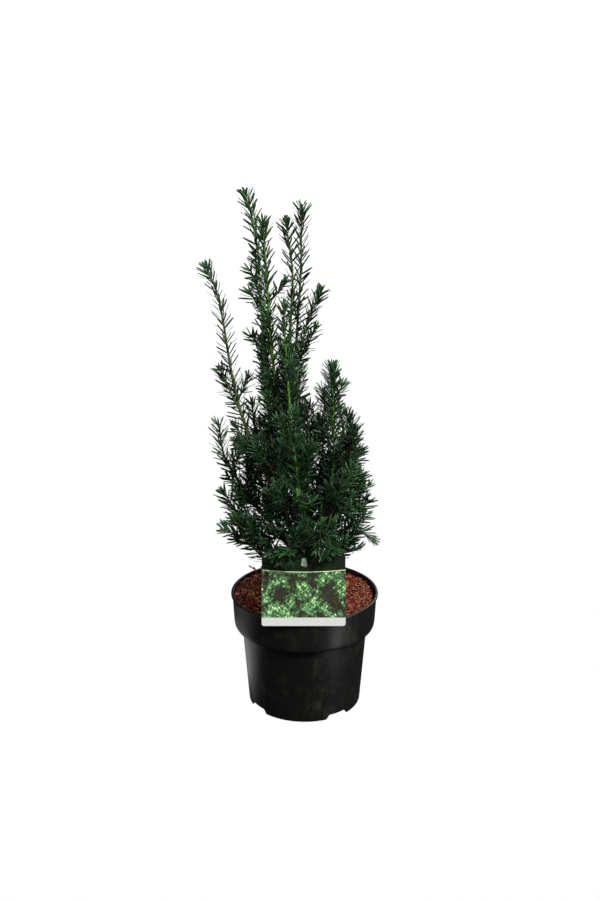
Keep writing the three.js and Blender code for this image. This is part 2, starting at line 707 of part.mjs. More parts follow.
// The strap's path: from the tab on the card's face back through the slot, round the twig, and forward
// again to the card's back.
function strapPath() {
  const front = CARD.thick + STRAP.offCard + STRAP.thick / 2;
  const [exitUp, exitOut] = STRAP.slotExit;
  const [bendUp, bendOut] = STRAP.returnBend;
  const path = [inPlane(slotUp + TAB.length, front), inPlane(slotUp + STRAP.slotEntry, front)];
  path.push(inPlane(slotUp, CARD.thick / 2), inPlane(slotUp + exitUp, exitOut));
  const loop = new THREE.Vector2(...STRAP.loopAt);
  for (let i = 0; i <= STRAP.loopSteps; i++) {
    const turn = radians(lerp(STRAP.loopStart, STRAP.loopEnd, i / STRAP.loopSteps));
    const out = new THREE.Vector2(Math.cos(turn), Math.sin(turn)).multiplyScalar(STRAP.loopRadius);
    path.push(loop.clone().add(out));
  }
  path.push(inPlane(slotUp + bendUp, bendOut));
  path.push(inPlane(slotUp + STRAP.returnEnd, -STRAP.offCard - STRAP.thick / 2));
  return path;
}

function strapSolid() {
  const path = strapPath();
  const left = [];
  const right = [];
  path.forEach((at, i) => {
    const before = path[Math.max(0, i - 1)];
    const after = path[Math.min(path.length - 1, i + 1)];
    const way = after.clone().sub(before).normalize().multiplyScalar(STRAP.thick / 2);
    left.push(new THREE.Vector2(at.x - way.y, at.y + way.x));
    right.push(new THREE.Vector2(at.x + way.y, at.y - way.x));
  });
  const outline = new THREE.Shape([...left, ...right.reverse()]);
  const band = new THREE.ExtrudeGeometry(outline, { depth: STRAP.width, bevelEnabled: false });
  // The outline lies in Y and Z, so the band's depth turns to run along X.
  band.applyMatrix4(new THREE.Matrix4().makeBasis(vector(0, 1, 0), vector(0, 0, 1), vector(1, 0, 0)));
  band.translate(STRAP.x - STRAP.width / 2, 0, 0);
  const head = new THREE.Shape(
    [[-TAB.foot, 0], [TAB.foot, 0], [TAB.top, TAB.length], [-TAB.top, TAB.length]].map(
      ([across, up]) => new THREE.Vector2(across / 2, up),
    ),
  );
  const tab = new THREE.ExtrudeGeometry(head, { depth: STRAP.thick, bevelEnabled: false });
  tab.translate(STRAP.x - CARD.centreX, slotUp + TAB.aboveSlot, CARD.thick + STRAP.offCard);
  return solidOf(band).add(solidOf(tab.applyMatrix4(cardPlace)));
}

// Assembly

const plant = new THREE.Group();
plant.add(mesh("pot", geometryOf(potSolid()), 0x17191b, 0.5));
plant.add(mesh("potting_soil", geometryOf(soilSolid()), 0x3a2a20, 0.95));
plant.add(mesh("bark_mulch", geometryOf(mulchSolid()), 0x6b3a28, 0.95));
plant.add(mesh("label_card", geometryOf(cardSolid()), 0x55734f, 0.45));
plant.add(mesh("label_strap", geometryOf(strapSolid()), 0x9db58c, 0.45));
plant.add(mesh("trunk", geometryOf(trunkSolid(0)), 0x5a4030, 0.85));

const trunkPoints = TRUNK.rings.map((height) => atHeight(trunkLine, height));
const strapRoom = [vector(0, slotUp, 0).applyMatrix4(cardPlace), vector(STRAP.x, ...STRAP.loopAt)];
takeLine(trunkPoints, TRUNK.rings.map((height) => between(TRUNK.radii, height)), limbCount++);
const aroundTrunk = trunkSolid(GAP);
const shoots = SHOOTS.map(growMain);
shoots.forEach(growTwigs);
takeLine(strapRoom, [STRAP.clear, STRAP.clear + STRAP.loopRadius / 2], limbCount++);
for (const shoot of shoots) {
  if (shoot.boughTube) {
    const bough = solidOf(shoot.boughTube).subtract(aroundTrunk);
    plant.add(mesh(`bough_${shoot.name}`, geometryOf(bough), 0x5c5138, 0.8));
  }
  const limbs = shoot.limbs.map((limb) => solidOf(needledLimb(shoot, limb)));
  const mass = joined(limbs).subtract(aroundTrunk);
  plant.add(mesh(`foliage_${shoot.name}`, geometryOf(mass), 0x2f5136, 0.55));
}

export default plant;
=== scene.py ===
# Potted dwarf yew: a young shrub of upright shoots in a black nursery pot, with bark mulch and a hang card.
# The frame and the studio are in metres. Sizes of the plant and pot are in millimetres, and MM turns them.
import json
import math
from dataclasses import dataclass

import bpy
import numpy as np
from mathutils import Matrix, Vector, noise

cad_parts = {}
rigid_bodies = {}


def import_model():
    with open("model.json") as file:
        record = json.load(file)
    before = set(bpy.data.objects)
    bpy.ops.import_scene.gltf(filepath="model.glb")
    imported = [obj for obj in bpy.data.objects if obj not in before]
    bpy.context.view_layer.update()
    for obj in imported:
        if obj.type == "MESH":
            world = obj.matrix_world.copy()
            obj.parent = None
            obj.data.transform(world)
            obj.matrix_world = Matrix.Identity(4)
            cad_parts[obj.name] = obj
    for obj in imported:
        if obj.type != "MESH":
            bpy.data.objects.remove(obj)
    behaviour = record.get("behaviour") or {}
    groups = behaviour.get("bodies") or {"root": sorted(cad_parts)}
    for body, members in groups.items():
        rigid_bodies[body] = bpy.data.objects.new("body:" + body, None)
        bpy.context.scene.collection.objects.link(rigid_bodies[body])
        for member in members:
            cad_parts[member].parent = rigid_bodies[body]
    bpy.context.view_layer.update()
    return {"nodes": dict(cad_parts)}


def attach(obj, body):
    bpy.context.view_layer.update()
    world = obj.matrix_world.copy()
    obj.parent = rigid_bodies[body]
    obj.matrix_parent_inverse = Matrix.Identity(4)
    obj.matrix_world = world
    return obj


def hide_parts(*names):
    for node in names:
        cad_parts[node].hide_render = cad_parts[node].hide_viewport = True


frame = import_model()
MM = 0.001
foliage_nodes = sorted(name for name in frame["nodes"] if name.startswith("foliage_"))
bough_nodes = sorted(name for name in frame["nodes"] if name.startswith("bough_"))


# Pot: a thin injection-moulded nursery pot of black recycled plastic, turned from one profile. It has a
# bead lip, a stacking collar with a step under it, and a foot ring cut by four notches under a raised floor.
POT_HEIGHT = 150
LIP_RADIUS = 95
COLLAR_RADIUS = 93
COLLAR_FOOT_RADIUS = 91
COLLAR_FOOT = 106
SHOULDER_RADIUS = 81
BASE_RADIUS = 73
POT_WALL = 1.6
FLOOR_RISE = 7
FLOOR_THICKNESS = 2
PAD_RADIUS = 20
POT_SEGMENTS = 160
NOTCH_ANGLES = [-145 + 90 * k for k in range(4)]
NOTCH_HEIGHT = 6.4
NOTCH_DEPTH = 14
NOTCH_WIDTH_AT_FOOT = 34
NOTCH_WIDTH_ON_TOP = 24
DRAIN_HOLES = 6
DRAIN_RADIUS = 4
DRAIN_RING = 45
DRAIN_SIDES = 24
DRAIN_TOOL = (2, 14)
POT_SMOOTH_BELOW = 38
POT_BLACK = (0.0029, 0.0033, 0.0027, 1)
POT_DUST = (0.014, 0.016, 0.012, 1)


class Value:
    """An output in a material's node tree that can be reckoned with: 1 - mask adds a Math node."""

    def __init__(self, tree, socket):
        self.tree = tree
        self.socket = socket

    def node(self, kind, settings=None, inputs=None, output=0):
        """Adds a node of this type, with its settings and then the values or links of its inputs."""
        made = self.tree.nodes.new(kind)
        for name, setting in (settings or {}).items():
            setattr(made, name, setting)
        for name, given in (inputs or {}).items():
            if isinstance(given, Value):
                self.tree.links.new(given.socket, made.inputs[name])
            else:
                made.inputs[name].default_value = given
        return Value(self.tree, made.outputs[output])

    def maths(self, operation, first, second):
        return self.node("ShaderNodeMath", {"operation": operation}, {0: first, 1: second})

    def __add__(self, other):
        return self.maths("ADD", self, other)

    def __sub__(self, other):
        return self.maths("SUBTRACT", self, other)

    def __rsub__(self, other):
        return self.maths("SUBTRACT", other, self)

    def __mul__(self, other):
        return self.maths("MULTIPLY", self, other)

    def __gt__(self, other):
        return self.maths("GREATER_THAN", self, other)

    __radd__ = __add__
    __rmul__ = __mul__

    def between(self, low, high):
        """0 below low, 1 above high, and smooth from one to the other."""
        settings = {"interpolation_type": "SMOOTHSTEP"}
        return self.node("ShaderNodeMapRange", settings, {"Value": self, "From Min": low, "From Max": high})

    def noise(self, scale, detail=3, roughness=0.5):
        inputs = {"Vector": self, "Scale": scale, "Detail": detail, "Roughness": roughness}
        return self.node("ShaderNodeTexNoise", {}, inputs)

    def blend(self, low, high):
        """The colour low where this value is 0 and high where it is 1."""
        settings = {"data_type": "RGBA"}
        return self.node("ShaderNodeMix", settings, {"Factor": self, "A": low, "B": high}, output=2)

    def stretched(self, x, y, z):
        """A place with each axis stretched by its own number."""
        settings = {"operation": "MULTIPLY"}
        return self.node("ShaderNodeVectorMath", settings, {0: self, 1: (x, y, z)})

    def relief(self, distance, strength=1.0):
        """The normal of a surface that this value raises, to this many metres."""
        return self.node("ShaderNodeBump", {}, {"Height": self, "Distance": distance, "Strength": strength})


def new_finish(name, **same_all_over):
    """A material with these values all over: the material, its shader and the place on the part."""
    finish = bpy.data.materials.new(name)
    finish.use_nodes = True
    tree = finish.node_tree
    shader = tree.nodes["Principled BSDF"]
    for socket, value in same_all_over.items():
        shader.inputs[socket.replace("_", " ")].default_value = value
    place = tree.nodes.new("ShaderNodeTexCoord")
    return finish, shader, Value(tree, place.outputs["Object"])


def drive(shader, **sockets):
    """Links what varies over the surface to the shader."""
    for socket, value in sockets.items():
        value.tree.links.new(value.socket, shader.inputs[socket.replace("_", " ")])


def add_piece(name, points, faces, finishes, slot, smooth_below=None, face_finish=None):
    """A piece of the part from points in millimetres. smooth_below is the angle in degrees up to which its
    edges look round, or None for flat faces."""
    mesh = bpy.data.meshes.new(name)
    points = np.asarray(points, np.float32) * MM
    faces = np.asarray(faces, np.int32)
    mesh.vertices.add(len(points))
    mesh.vertices.foreach_set("co", points.ravel())
    mesh.loops.add(faces.size)
    mesh.loops.foreach_set("vertex_index", faces.ravel())
    mesh.polygons.add(len(faces))
    mesh.polygons.foreach_set("loop_start", np.arange(0, faces.size, faces.shape[1], dtype=np.int32))
    for finish in finishes:
        mesh.materials.append(finish)
    if face_finish is not None:
        mesh.polygons.foreach_set("material_index", np.asarray(face_finish, np.int32))
    mesh.update(calc_edges=True)
    if smooth_below is not None:
        mesh.polygons.foreach_set("use_smooth", np.ones(len(faces), bool))
        if smooth_below < 180:
            mesh.set_sharp_from_angle(angle=math.radians(smooth_below))
    piece = bpy.data.objects.new(name, mesh)
    bpy.context.scene.collection.objects.link(piece)
    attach(piece, "root")
    return piece


def rounded(corners, steps=4):
    """An outline of (radius, height, rounding) corners with each corner turned into an arc-like bend, which
    takes up less than half of the edges beside it."""
    outline = []
    for i, (radius, height, rounding) in enumerate(corners):
        here = np.array([radius, height], float)
        if rounding == 0 or i in (0, len(corners) - 1):
            outline.append(here)
            continue
        ends = []
        for beside in (corners[i - 1], corners[i + 1]):
            edge = np.array(beside[:2], float) - here
            length = np.linalg.norm(edge)
            ends.append(here + edge / length * min(rounding, length / 2.1))
        for share in np.linspace(0, 1, steps + 1):
            outline.append((1 - share) ** 2 * ends[0] + 2 * share * (1 - share) * here + share**2 * ends[1])
    return np.array(outline)


def turned(outline, segments):
    """The points and triangles of a solid turned about +Z. Its outline starts and ends on the axis."""
    inner = outline[1:-1]
    angles = np.arange(segments) * 2 * math.pi / segments
    rings = [np.stack([r * np.cos(angles), r * np.sin(angles), np.full(segments, z)], 1) for r, z in inner]
    points = np.concatenate([*rings, [[0, 0, outline[0][1]]], [[0, 0, outline[-1][1]]]])
    first_pole = len(inner) * segments
    here = np.arange(segments)
    ahead = (here + 1) % segments
    faces = [np.stack([ahead, here, np.full(segments, first_pole)], 1)]
    for ring in range(len(inner) - 1):
        low = ring * segments
        high = low + segments
        faces.append(np.stack([low + here, low + ahead, high + ahead], 1))
        faces.append(np.stack([low + here, high + ahead, high + here], 1))
    last = (len(inner) - 1) * segments
    faces.append(np.stack([last + here, last + ahead, np.full(segments, first_pole + 1)], 1))
    return points, np.concatenate(faces)


def cutter(name, points, faces, turn):
    """A hidden tool for a Boolean cut, turned about +Z."""
    mesh = bpy.data.meshes.new(name)
    mesh.from_pydata([Vector(point) * MM for point in points], [], faces)
    mesh.transform(Matrix.Rotation(math.radians(turn), 4, "Z"))
    tool = bpy.data.objects.new(name, mesh)
    bpy.context.scene.collection.objects.link(tool)
    return tool


def cut(piece, tools):
    """Cuts the tools out of the piece's mesh and removes them."""
    for tool in tools:
        change = piece.modifiers.new(tool.name, "BOOLEAN")
        change.operation = "DIFFERENCE"
        change.solver = "EXACT"
        change.object = tool
    seen = piece.evaluated_get(bpy.context.evaluated_depsgraph_get())
    whole = bpy.data.meshes.new_from_object(seen)
    piece.modifiers.clear()
    piece.data = whole
    for tool in tools:
        bpy.data.objects.remove(tool)


pot_corners = [
    (0, 0, 0),
    (PAD_RADIUS, 0, 0.8),
    (PAD_RADIUS + 1.5, FLOOR_RISE, 1),
    (BASE_RADIUS - 3.5, FLOOR_RISE, 0.8),
    (BASE_RADIUS - 2, 0, 0.5),
    (BASE_RADIUS, 0, 1),
    (SHOULDER_RADIUS, COLLAR_FOOT - 1.5, 1.6),
    (COLLAR_FOOT_RADIUS - 1.6, COLLAR_FOOT - 1, 3.5),
    (COLLAR_FOOT_RADIUS + 0.1, COLLAR_FOOT + 4, 4),
    (COLLAR_RADIUS, POT_HEIGHT - 3.4, 0.5),
    (LIP_RADIUS - 0.2, POT_HEIGHT - 3, 0.8),
    (LIP_RADIUS, POT_HEIGHT - 1.5, 0.8),
    (LIP_RADIUS - 0.8, POT_HEIGHT, 0.9),
    (COLLAR_RADIUS - POT_WALL, POT_HEIGHT, 0.7),
    (COLLAR_FOOT_RADIUS - POT_WALL, COLLAR_FOOT + POT_WALL, 1),
    (SHOULDER_RADIUS - POT_WALL, COLLAR_FOOT + POT_WALL - 0.5, 1),
    (BASE_RADIUS - POT_WALL, FLOOR_RISE + FLOOR_THICKNESS, 1),
    (0, FLOOR_RISE + FLOOR_THICKNESS, 0),
]
pot_finish, pot_shader, on_pot = new_finish("black_pot_plastic", Specular_IOR_Level=0.2)
dust_streaks = on_pot.stretched(1, 1, 0.22).noise(160, 3).between(0.3, 0.75)
pot_dust = on_pot.noise(38, 5, 0.6).between(0.42, 0.78) * dust_streaks
pot_scuffs = on_pot.stretched(1, 1, 9).noise(55, 6, 0.7).between(0.62, 0.7)
pot_grain = on_pot.noise(2200, 2) * 0.35 + on_pot.noise(260, 4, 0.6)
drive(
    pot_shader,
    Base_Color=(pot_dust * 0.95 + pot_scuffs * 0.3).blend(POT_BLACK, POT_DUST),
    Roughness=0.36 + pot_dust * 0.2 + on_pot.noise(90, 4) * 0.12,
    Normal=(pot_grain - pot_scuffs * 0.3).relief(0.00018, 0.5),
)
pot = add_piece("nursery_pot", *turned(rounded(pot_corners), POT_SEGMENTS), [pot_finish], "pot")
tools = []
for angle in NOTCH_ANGLES:
    inner = BASE_RADIUS - NOTCH_DEPTH / 2
    outer = BASE_RADIUS + NOTCH_DEPTH / 2 + 1
    foot = NOTCH_WIDTH_AT_FOOT / 2
    top = NOTCH_WIDTH_ON_TOP / 2
    corners = [(-foot, -1), (foot, -1), (top, NOTCH_HEIGHT), (-top, NOTCH_HEIGHT)]
    points = [(reach, across, up) for reach in (inner, outer) for across, up in corners]
    sides = [(0, 3, 2, 1), (4, 5, 6, 7), (0, 1, 5, 4), (1, 2, 6, 5), (2, 3, 7, 6), (3, 0, 4, 7)]
    tools.append(cutter("notch_tool", points, sides, angle))
low, high = DRAIN_TOOL
hole_outline = [(0, low), (DRAIN_RADIUS, low), (DRAIN_RADIUS, high), (0, high)]
for k in range(DRAIN_HOLES):
    points, faces = turned(hole_outline, DRAIN_SIDES)
    points[:, 0] += DRAIN_RING
    tools.append(cutter("drain_tool", points, faces.tolist(), (k + 0.5) * 360 / DRAIN_HOLES))
cut(pot, tools)
pot.data.polygons.foreach_set("use_smooth", np.ones(len(pot.data.polygons), bool))
pot.data.set_sharp_from_angle(angle=math.radians(POT_SMOOTH_BELOW))
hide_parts("pot")


# Potting soil: dark peat compost that fills the pot up to the mulch, seen only through the drain holes.
SOIL_DARK = (0.008, 0.005, 0.003, 1)
SOIL_BROWN = (0.05, 0.03, 0.018, 1)
soil_finish, soil_shader, on_soil = new_finish("peat_compost", Specular_IOR_Level=0.2)
soil_crumbs = on_soil.noise(420, 6, 0.7)
drive(
    soil_shader,
    Base_Color=soil_crumbs.blend(SOIL_DARK, SOIL_BROWN),
    Roughness=0.85 + soil_crumbs * 0.12,
    Normal=soil_crumbs.relief(0.002),
)
soil = frame["nodes"]["potting_soil"]
soil.data.materials.clear()
soil.data.materials.append(soil_finish)


# Bark mulch: shredded red-brown bark over the soil, a little below the lip and heaped at the left back. A
# bumpy bed carries thousands of loose shreds in four tones, from wet dark bark to split tan wood. Three
# long ones stand up over the lip at the left back.
MULCH_TOP = 147
MULCH_EDGE_DROP = 4
MULCH_DEPTH = 10
MULCH_FLAT_RADIUS = 18
MULCH_RADIUS = 90.8
MULCH_HEAP = 3.5
MULCH_HEAP_ANGLE = math.radians(155)
BED_RINGS = 52
BED_SEGMENTS = 150
BED_MIDDLE = 1.5
BED_SINK = 1.2
BED_BUMP = 1.7
BED_BUMP_SCALE = 0.16
BED_DARK = (0.025, 0.005, 0.003, 1)
BED_RED = (0.13, 0.026, 0.01, 1)
SHREDS = 5200
SHRED_SEED = 12
SHRED_INNERMOST = 0.012
SHRED_LONGEST = 12
SHRED_SHARES = (0.4, 1)
SHRED_SHARE_POWER = 1.6
SHRED_RIM_ROOM = 0.42
SHRED_LIFTS = (-1.2, 1.0)
SHRED_PITCH = 0.24
SHRED_ROLL = 0.6
SHRED_WIDTHS = (0.7, 2.1)
SHRED_THICKNESSES = (0.35, 0.95)
PROUD_SHREDS = [
    ((-69, 65, 152.5), 140, 14, 17),
    ((-66, 62, 152), 118, 24, 12),
    ((-55, 72, 150.5), 160, 10, 11),
]
PROUD_WIDTH = 2.6
PROUD_THICKNESS = 1.4
PROUD_TONE = 1
BARK_TONES = {
    "wet": ((0.05, 0.007, 0.003, 1), 0.26),
    "red": ((0.145, 0.024, 0.009, 1), 0.4),
    "chestnut": ((0.235, 0.07, 0.029, 1), 0.24),
    "tan": ((0.4, 0.21, 0.13, 1), 0.1),
}


def mulch_height(x, y):
    radius = np.hypot(x, y)
    out = np.clip((radius - MULCH_FLAT_RADIUS) / (MULCH_RADIUS - MULCH_FLAT_RADIUS), 0, None)
    toward_heap = np.clip(np.cos(np.arctan2(y, x) - MULCH_HEAP_ANGLE), 0, None)
    heap = MULCH_HEAP * toward_heap**3 * (radius / MULCH_RADIUS) ** 2
    return MULCH_TOP - MULCH_EDGE_DROP * out + heap


def bark_finish(name, colour):
    finish, shader, place = new_finish(name, Specular_IOR_Level=0.15)
    fibres = place.stretched(1, 1, 3).noise(900, 3, 0.6)
    darker = tuple(0.5 * channel for channel in colour[:3]) + (1,)
    drive(shader, Base_Color=fibres.between(0.3, 0.6).blend(darker, colour), Roughness=0.7 + fibres * 0.2)
    return finish


bed_bottom = MULCH_TOP - MULCH_DEPTH
bed_top = [(radius, MULCH_TOP) for radius in np.linspace(MULCH_RADIUS, BED_MIDDLE, BED_RINGS)]
bed_outline = [(0, bed_bottom), (MULCH_RADIUS - 0.6, bed_bottom), *bed_top, (0, MULCH_TOP)]
bed_points, bed_faces = turned(bed_outline, BED_SEGMENTS)
for point in bed_points:
    if point[2] > bed_bottom + 1:
        bumps = noise.fractal(Vector(point) * BED_BUMP_SCALE, 0.7, 2.1, 4)
        point[2] = mulch_height(point[0], point[1]) - BED_SINK + BED_BUMP * bumps
bed_finish, bed_shader, on_bed = new_finish("mulch_bed", Specular_IOR_Level=0.1)
bed_shreds = on_bed.noise(480, 5, 0.65)
drive(
    bed_shader,
    Base_Color=bed_shreds.between(0.35, 0.75).blend(BED_DARK, BED_RED),
    Roughness=0.75 + bed_shreds * 0.2,
    Normal=bed_shreds.relief(0.0025),
)
bed = add_piece("mulch_bed", bed_points, bed_faces, [bed_finish], "mulch", smooth_below=180)
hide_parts("bark_mulch")

draw = np.random.default_rng(SHRED_SEED)
shred_length = draw.uniform(*SHRED_SHARES, SHREDS) ** SHRED_SHARE_POWER * SHRED_LONGEST
shred_radius = np.sqrt(draw.uniform(SHRED_INNERMOST, 1, SHREDS)) * MULCH_RADIUS
shred_radius = np.minimum(shred_radius, MULCH_RADIUS - SHRED_RIM_ROOM * shred_length)
shred_angle = draw.uniform(0, 2 * math.pi, SHREDS)
shred_middle = np.stack([shred_radius * np.cos(shred_angle), shred_radius * np.sin(shred_angle)], 1)
shred_up = mulch_height(*shred_middle.T) + draw.uniform(*SHRED_LIFTS, SHREDS)
shred_middle = np.column_stack([shred_middle, shred_up])
shred_yaw = draw.uniform(0, 2 * math.pi, SHREDS)
shred_pitch = draw.normal(0, SHRED_PITCH, SHREDS)
shred_roll = draw.normal(0, SHRED_ROLL, SHREDS)
shred_width = draw.uniform(*SHRED_WIDTHS, SHREDS)
shred_thickness = draw.uniform(*SHRED_THICKNESSES, SHREDS)
for number, (place, yaw, pitch, length) in enumerate(PROUD_SHREDS):
    shred_middle[number] = place
    shred_yaw[number] = math.radians(yaw)
    shred_pitch[number] = math.radians(pitch)
    shred_length[number] = length
    shred_width[number] = PROUD_WIDTH
    shred_thickness[number] = PROUD_THICKNESS
shred_level = np.stack([np.cos(shred_yaw), np.sin(shred_yaw)], 1) * np.cos(shred_pitch)[:, None]
shred_way = np.column_stack([shred_level, np.sin(shred_pitch)])
shred_side = np.cross(shred_way, (0, 0, 1.0))
shred_side /= np.linalg.norm(shred_side, axis=1, keepdims=True)
shred_top = np.cross(shred_side, shred_way)
cosine = np.cos(shred_roll)[:, None]
sine = np.sin(shred_roll)[:, None]
shred_side, shred_top = shred_side * cosine + shred_top * sine, shred_top * cosine - shred_side * sine
# Each corner of a shred's box has its own share of the half size along each axis, down to the least here.
shred_axes = [
    (4, 0.75, shred_way, shred_length),
    (2, 0.25, shred_side, shred_width),
    (1, 0.5, shred_top, shred_thickness),
]
shred_points = np.zeros((SHREDS, 8, 3))
for corner in range(8):
    for bit, least, axis, size in shred_axes:
        half = (1 if corner & bit else -1) * draw.uniform(least, 1, SHREDS) * size / 2
        shred_points[:, corner] += axis * half[:, None]
shred_points += shred_middle[:, None]
BOX_FACES = np.array([(0, 1, 3, 2), (4, 6, 7, 5), (0, 4, 5, 1), (2, 3, 7, 6), (0, 2, 6, 4), (1, 5, 7, 3)])
tone_ends = np.cumsum([share for _, share in BARK_TONES.values()])
shred_tone = np.searchsorted(tone_ends, draw.uniform(0, tone_ends[-1], SHREDS))
shred_tone[: len(PROUD_SHREDS)] = PROUD_TONE
for number, (tone, (colour, _)) in enumerate(BARK_TONES.items()):
    chosen = shred_points[shred_tone == number]
    faces = (np.arange(len(chosen))[:, None, None] * 8 + BOX_FACES).reshape(-1, 4)
    finish = bark_finish(f"bark_{tone}", colour)
    add_piece(f"bark_shreds_{tone}", chosen.reshape(-1, 3), faces, [finish], "mulch")


# Trunk: the short main stem, with its root flare at the mulch, up to its fork among the shoots. Its thin
# brown bark has long shallow furrows, modelled as relief and broken up further by the finish.
TRUNK_THROUGH = [(0, 0, 147.3), (-1, 1, 190), (-4, 5, 260), (-7, 9, 336)]
TRUNK_RADII = [(147, 14), (152, 11.5), (165, 10), (200, 8), (260, 6), (336, 4)]
TRUNK_PACE = 1.5
TRUNK_SIDES = 48
TRUNK_FURROW = 0.55
TRUNK_FURROW_SCALE = 0.32
TRUNK_SINK = 0.4
FURROW_ROUND = 9
FURROW_STRETCH = 0.28
WAY_STEP = 0.6
BARK_BROWN = (0.055, 0.033, 0.018, 1)
BARK_DARK = (0.014, 0.01, 0.006, 1)
BARK_GRAIN = 420


def unit(ways):
    return ways / np.linalg.norm(ways, axis=-1, keepdims=True)


def read_at(table, place):
    """Reads a table of (place, value) rows, with straight steps from row to row."""
    return np.interp(place, *zip(*table))


class Line:
    """A limb's centre line, read by the share of its length."""

    def __init__(self, points):
        self.points = np.asarray(points, float)
        steps = np.linalg.norm(np.diff(self.points, axis=0), axis=1)
        self.run = np.concatenate([[0], np.cumsum(steps)])
        self.length = self.run[-1]

    def at(self, share):
        spot = np.clip(share, 0, 1) * self.length
        return np.stack([np.interp(spot, self.run, self.points[:, axis]) for axis in range(3)], -1)

    def way(self, share):
        step = WAY_STEP / self.length
        share = np.asarray(share, float)
        return unit(self.at(np.minimum(share + step, 1)) - self.at(np.maximum(share - step, 0)))

    def at_height(self, height):
        return np.array([np.interp(height, self.points[:, 2], self.points[:, axis]) for axis in range(3)])


def line_through(places, steps=40):
    """A smooth line through the places: a Catmull-Rom curve whose spans go by the root of their length."""
    places = [np.array(place, float) for place in places]
    places = [2 * places[0] - places[1], *places, 2 * places[-1] - places[-2]]
    points = []
    for a, b, c, d in zip(places, places[1:], places[2:], places[3:]):
        before, here, after = (math.sqrt(np.linalg.norm(q - p)) for p, q in ((a, b), (b, c), (c, d)))
        leave = ((b - a) / before - (c - a) / (before + here) + (c - b) / here) * here
        reach = ((c - b) / here - (d - b) / (here + after) + (d - c) / after) * here
        t = np.linspace(0, 1, steps, endpoint=False)[:, None]
        spline = (2 * t**3 - 3 * t**2 + 1) * b + (t**3 - 2 * t**2 + t) * leave
        points.append(spline + (3 * t**2 - 2 * t**3) * c + (t**3 - t**2) * reach)
    return Line(np.concatenate([*points, [places[-2]]]))


def frames_along(ways):
    """Two directions out from a line at each point, carried along it without twist."""
    across = np.array([1, 0.2, 0.1])
    sides = []
    for way in ways:
        across = unit(across - across.dot(way) * way)
        sides.append(across)
    sides = np.array(sides)
    return sides, np.cross(ways, sides)


def ring_walls(rings, sides):
    """The four-cornered faces between rings of points, each of which has this many sides."""
    here = np.arange(sides)
    ahead = (here + 1) % sides
    low = (np.arange(rings - 1) * sides)[:, None]
    return np.stack([low + here, low + ahead, low + sides + ahead, low + sides + here], -1).reshape(-1, 4)


def tube(points, ways, radii, sides):
    """A closed tube through the points, with a radius for each ring or one for each ring and side."""
    across, third = frames_along(ways)
    turns = np.arange(sides) * 2 * math.pi / sides
    radii = np.asarray(radii, float).reshape(len(points), -1, 1)
    out = across[:, None] * np.cos(turns)[:, None] + third[:, None] * np.sin(turns)[:, None]
    rings = (points[:, None] + out * radii).reshape(-1, 3)
    walls = ring_walls(len(points), sides)
    walls = np.concatenate([walls[:, [0, 1, 2]], walls[:, [0, 2, 3]]])
    here = np.arange(sides)
    ahead = (here + 1) % sides
    end = len(rings)
    last = end - sides
    foot_cap = np.stack([ahead, here, np.full(sides, end)], 1)
    tip_cap = np.stack([last + here, last + ahead, np.full(sides, end + 1)], 1)
    return np.concatenate([rings, points[:1], points[-1:]]), np.concatenate([walls, foot_cap, tip_cap])


def furrows(points, sides, depth, scale):
    """How far bark stands out at each point and side of a limb: long furrows that run along it."""
    out = np.zeros((len(points), sides))
    for ring, (x, y, z) in enumerate(points):
        for side in range(sides):
            turn = side * 2 * math.pi / sides
            across = x + FURROW_ROUND * math.cos(turn), y + FURROW_ROUND * math.sin(turn)
            spot = Vector((*across, z * FURROW_STRETCH)) * scale
            out[ring, side] = noise.fractal(spot, 0.8, 2.2, 3) * depth
    return out


def wood_finish(name, light, dark, grain):
    finish, shader, place = new_finish(name, Specular_IOR_Level=0.15)
    along = place.stretched(1, 1, 0.3).noise(grain, 5, 0.65)
    flakes = place.noise(grain * 0.4, 3)
    drive(
        shader,
        Base_Color=(along.between(0.35, 0.65) * 0.7 + flakes.between(0.45, 0.7) * 0.3).blend(dark, light),
        Roughness=0.62 + along * 0.3,
        Normal=along.relief(0.0006, 0.7),
    )
    return finish


trunk_line = line_through(TRUNK_THROUGH)
trunk_foot = TRUNK_THROUGH[0][2]
trunk_fork = TRUNK_THROUGH[-1][2]
trunk_heights = np.append(np.arange(trunk_foot, trunk_fork, TRUNK_PACE), trunk_fork)
trunk_points = np.array([trunk_line.at_height(height) for height in trunk_heights])
trunk_radii = read_at(TRUNK_RADII, trunk_heights)[:, None]
trunk_relief = furrows(trunk_points, TRUNK_SIDES, TRUNK_FURROW, TRUNK_FURROW_SCALE)
upright = np.tile([0, 0, 1.0], (len(trunk_points), 1))
bark_radii = trunk_radii - TRUNK_FURROW * TRUNK_SINK + trunk_relief
trunk_mesh = tube(trunk_points, upright, bark_radii, TRUNK_SIDES)
bark = wood_finish("thin_brown_bark", BARK_BROWN, BARK_DARK, BARK_GRAIN)
trunk = add_piece("trunk_bark", *trunk_mesh, [bark], "bark", smooth_below=60)
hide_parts("trunk")


# Limbs: each main shoot runs from its foot on the trunk through two places to its tip. The lower share of it
# is a bare bough; the rest, with its twigs, carries needles and is one mass of foliage. A twig that would
# leave the crown's outline or touch another limb, the card or the pot isn't grown.
STEM, TWIG, FINE_TWIG = range(3)
NEEDLE_PACE = 1.15
NO_BRUSH = 1000


@dataclass
class Shoot:
    """A main shoot: the height of its foot on the trunk, its way, the bare share of it, its radius at the
    foot, how many twigs it gets and how long they are. pace is the step from needle to needle along it. From
    the height brush up it has no fine twigs. A row of branches is a foot's height and a tip."""

    name: str
    foot: float
    low: tuple
    high: tuple
    tip: tuple
    bough: float
    thick: float
    twigs: int
    twig: float
    pace: float = NEEDLE_PACE
    brush: float = NO_BRUSH
    wood: str = "brown"
    branches: tuple = ()


